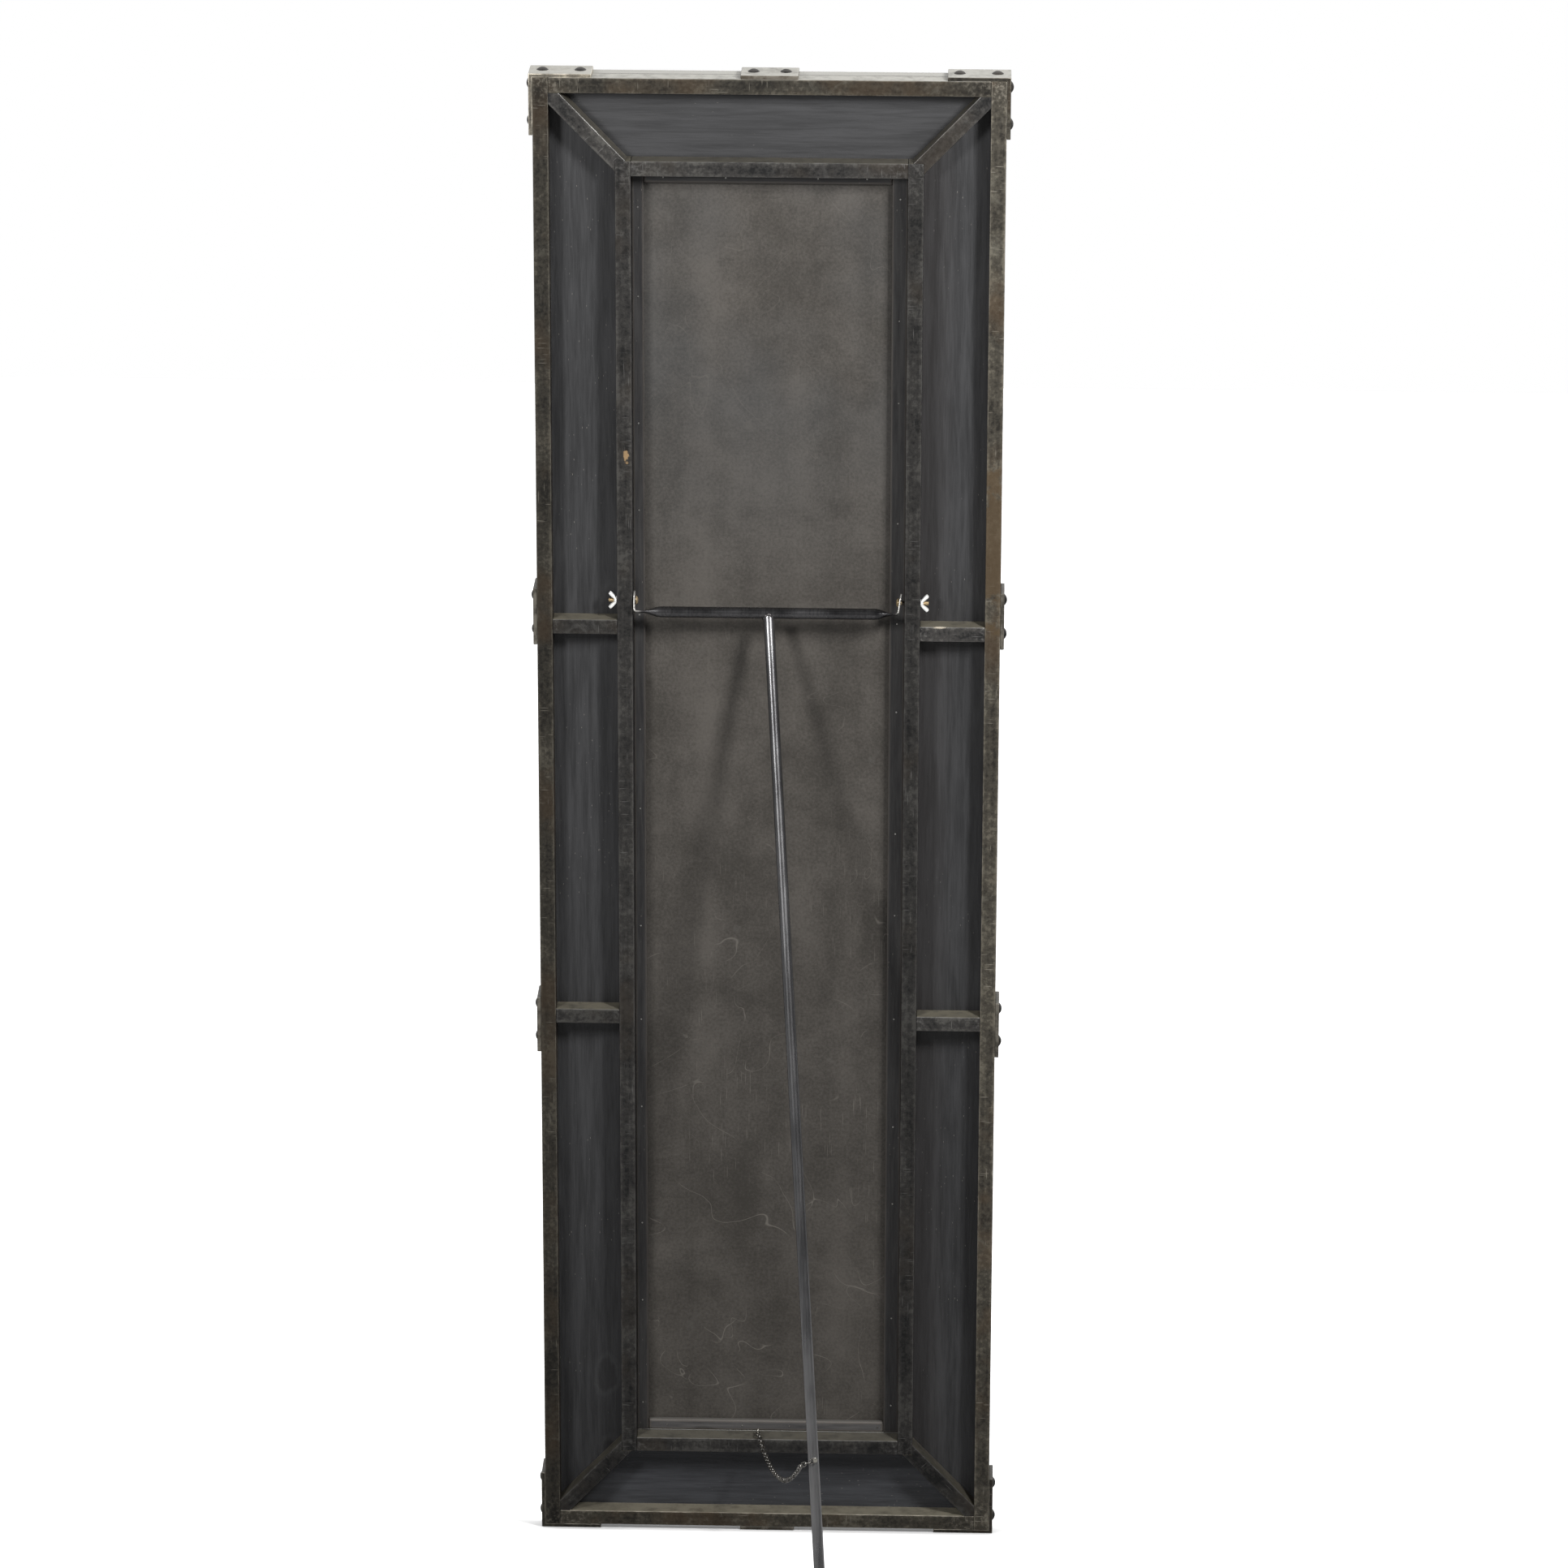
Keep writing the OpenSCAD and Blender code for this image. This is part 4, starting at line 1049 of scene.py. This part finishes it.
def pale_floor(name, tint, glow):
    """A wide plain floor. The camera's one glows a little, so that it ends up as white as the
    background, except close to the mirror's foot."""
    mesh = bpy.data.meshes.new(name)
    ends = ((-1, -1), (1, -1), (1, 1), (-1, 1))
    mesh.from_pydata([(x * FLOOR_REACH, y * FLOOR_REACH, 0) for x, y in ends], [], [(0, 1, 2, 3)])
    floor = bpy.data.objects.new(name, mesh)
    bpy.context.scene.collection.objects.link(floor)
    coat = Coat(name)
    cloud = coat.noise(1.5, 3, 0.5)
    shades = ((tint - 0.01,) * 3, (tint + 0.01,) * 3)
    coat.put(Base_Color=coat.mix(cloud, *shades), Roughness=0.9)
    if glow:
        off = coat.math("ABSOLUTE", coat.math("SUBTRACT", coat.axes(coat.own)[1], FOOT_Y))
        strength = coat.window(off, GLOW_FROM, GLOW_TO, 0.1, glow)
        coat.put(Emission_Color=(1, 1, 1), Emission_Strength=strength)
    floor.data.materials.append(coat.material)
    return floor


def floors():
    """A white floor that the camera sees, and a darker one in its place that lights the object, as
    the studio's floor does away from the lamps."""
    seen = pale_floor("floor", 0.9, 0.8)
    seen.visible_diffuse = seen.visible_glossy = seen.visible_transmission = False
    seen.visible_shadow = False
    bounce = pale_floor("floor_bounce", 0.28, 0.0)
    bounce.location.z = -1 * MM
    bounce.visible_camera = False


def world_light():
    """White behind the object; the room gives less light on the prop leg's side than from above
    and from the mirror's front."""
    world = bpy.data.worlds.new("studio")
    bpy.context.scene.world = world
    world.use_nodes = True
    tree = world.node_tree
    background = tree.nodes["Background"]
    background.inputs["Color"].default_value = (1, 1, 1, 1)
    towards = tree.nodes.new("ShaderNodeTexCoord")
    bright_side = tree.nodes.new("ShaderNodeVectorMath")
    bright_side.operation = "DOT_PRODUCT"
    bright_side.inputs[1].default_value = BRIGHT_SIDE
    strength = tree.nodes.new("ShaderNodeMapRange")
    strength.interpolation_type = "SMOOTHSTEP"
    for socket, value in zip(list(strength.inputs)[1:5], (0.2, 0.9, ROOM_DIM, ROOM_BRIGHT)):
        socket.default_value = value
    seen = tree.nodes.new("ShaderNodeLightPath")
    choose = tree.nodes.new("ShaderNodeMix")
    choose.inputs[3].default_value = 1.0
    tree.links.new(towards.outputs["Generated"], bright_side.inputs[0])
    tree.links.new(bright_side.outputs["Value"], strength.inputs[0])
    tree.links.new(seen.outputs["Is Camera Ray"], choose.inputs[0])
    tree.links.new(strength.outputs[0], choose.inputs[2])
    tree.links.new(choose.outputs[0], background.inputs["Strength"])


def soft_box(name, place, power):
    """A soft rectangular lamp that the camera doesn't see."""
    light = bpy.data.lights.new(name, "AREA")
    light.shape = "RECTANGLE"
    light.size, light.size_y = LAMP_W, LAMP_H
    light.energy = power
    lamp = bpy.data.objects.new(name, light)
    bpy.context.scene.collection.objects.link(lamp)
    lamp.location = place
    towards = Vector(LAMP_TARGET) - Vector(place)
    lamp.rotation_euler = towards.to_track_quat("-Z", "Y").to_euler()
    lamp.visible_camera = False


def camera():
    """A long lens at the photograph's place."""
    forward = Vector(VIEW_FORWARD).normalized()
    right = forward.cross(Vector(VIEW_UP)).normalized()
    up = right.cross(forward)
    lens = bpy.data.cameras.new("camera")
    lens.sensor_width = SENSOR
    lens.lens = LENS
    lens.clip_end = 200
    eye = bpy.data.objects.new("camera", lens)
    bpy.context.scene.collection.objects.link(eye)
    turn = Matrix((right, up, -forward)).transposed().to_4x4()
    eye.matrix_world = Matrix.Translation(EYE) @ turn
    bpy.context.scene.camera = eye


floors()
world_light()
for name, (place, power) in LAMPS.items():
    soft_box(name, place, power)
camera()
bpy.context.scene.view_settings.view_transform = "Standard"
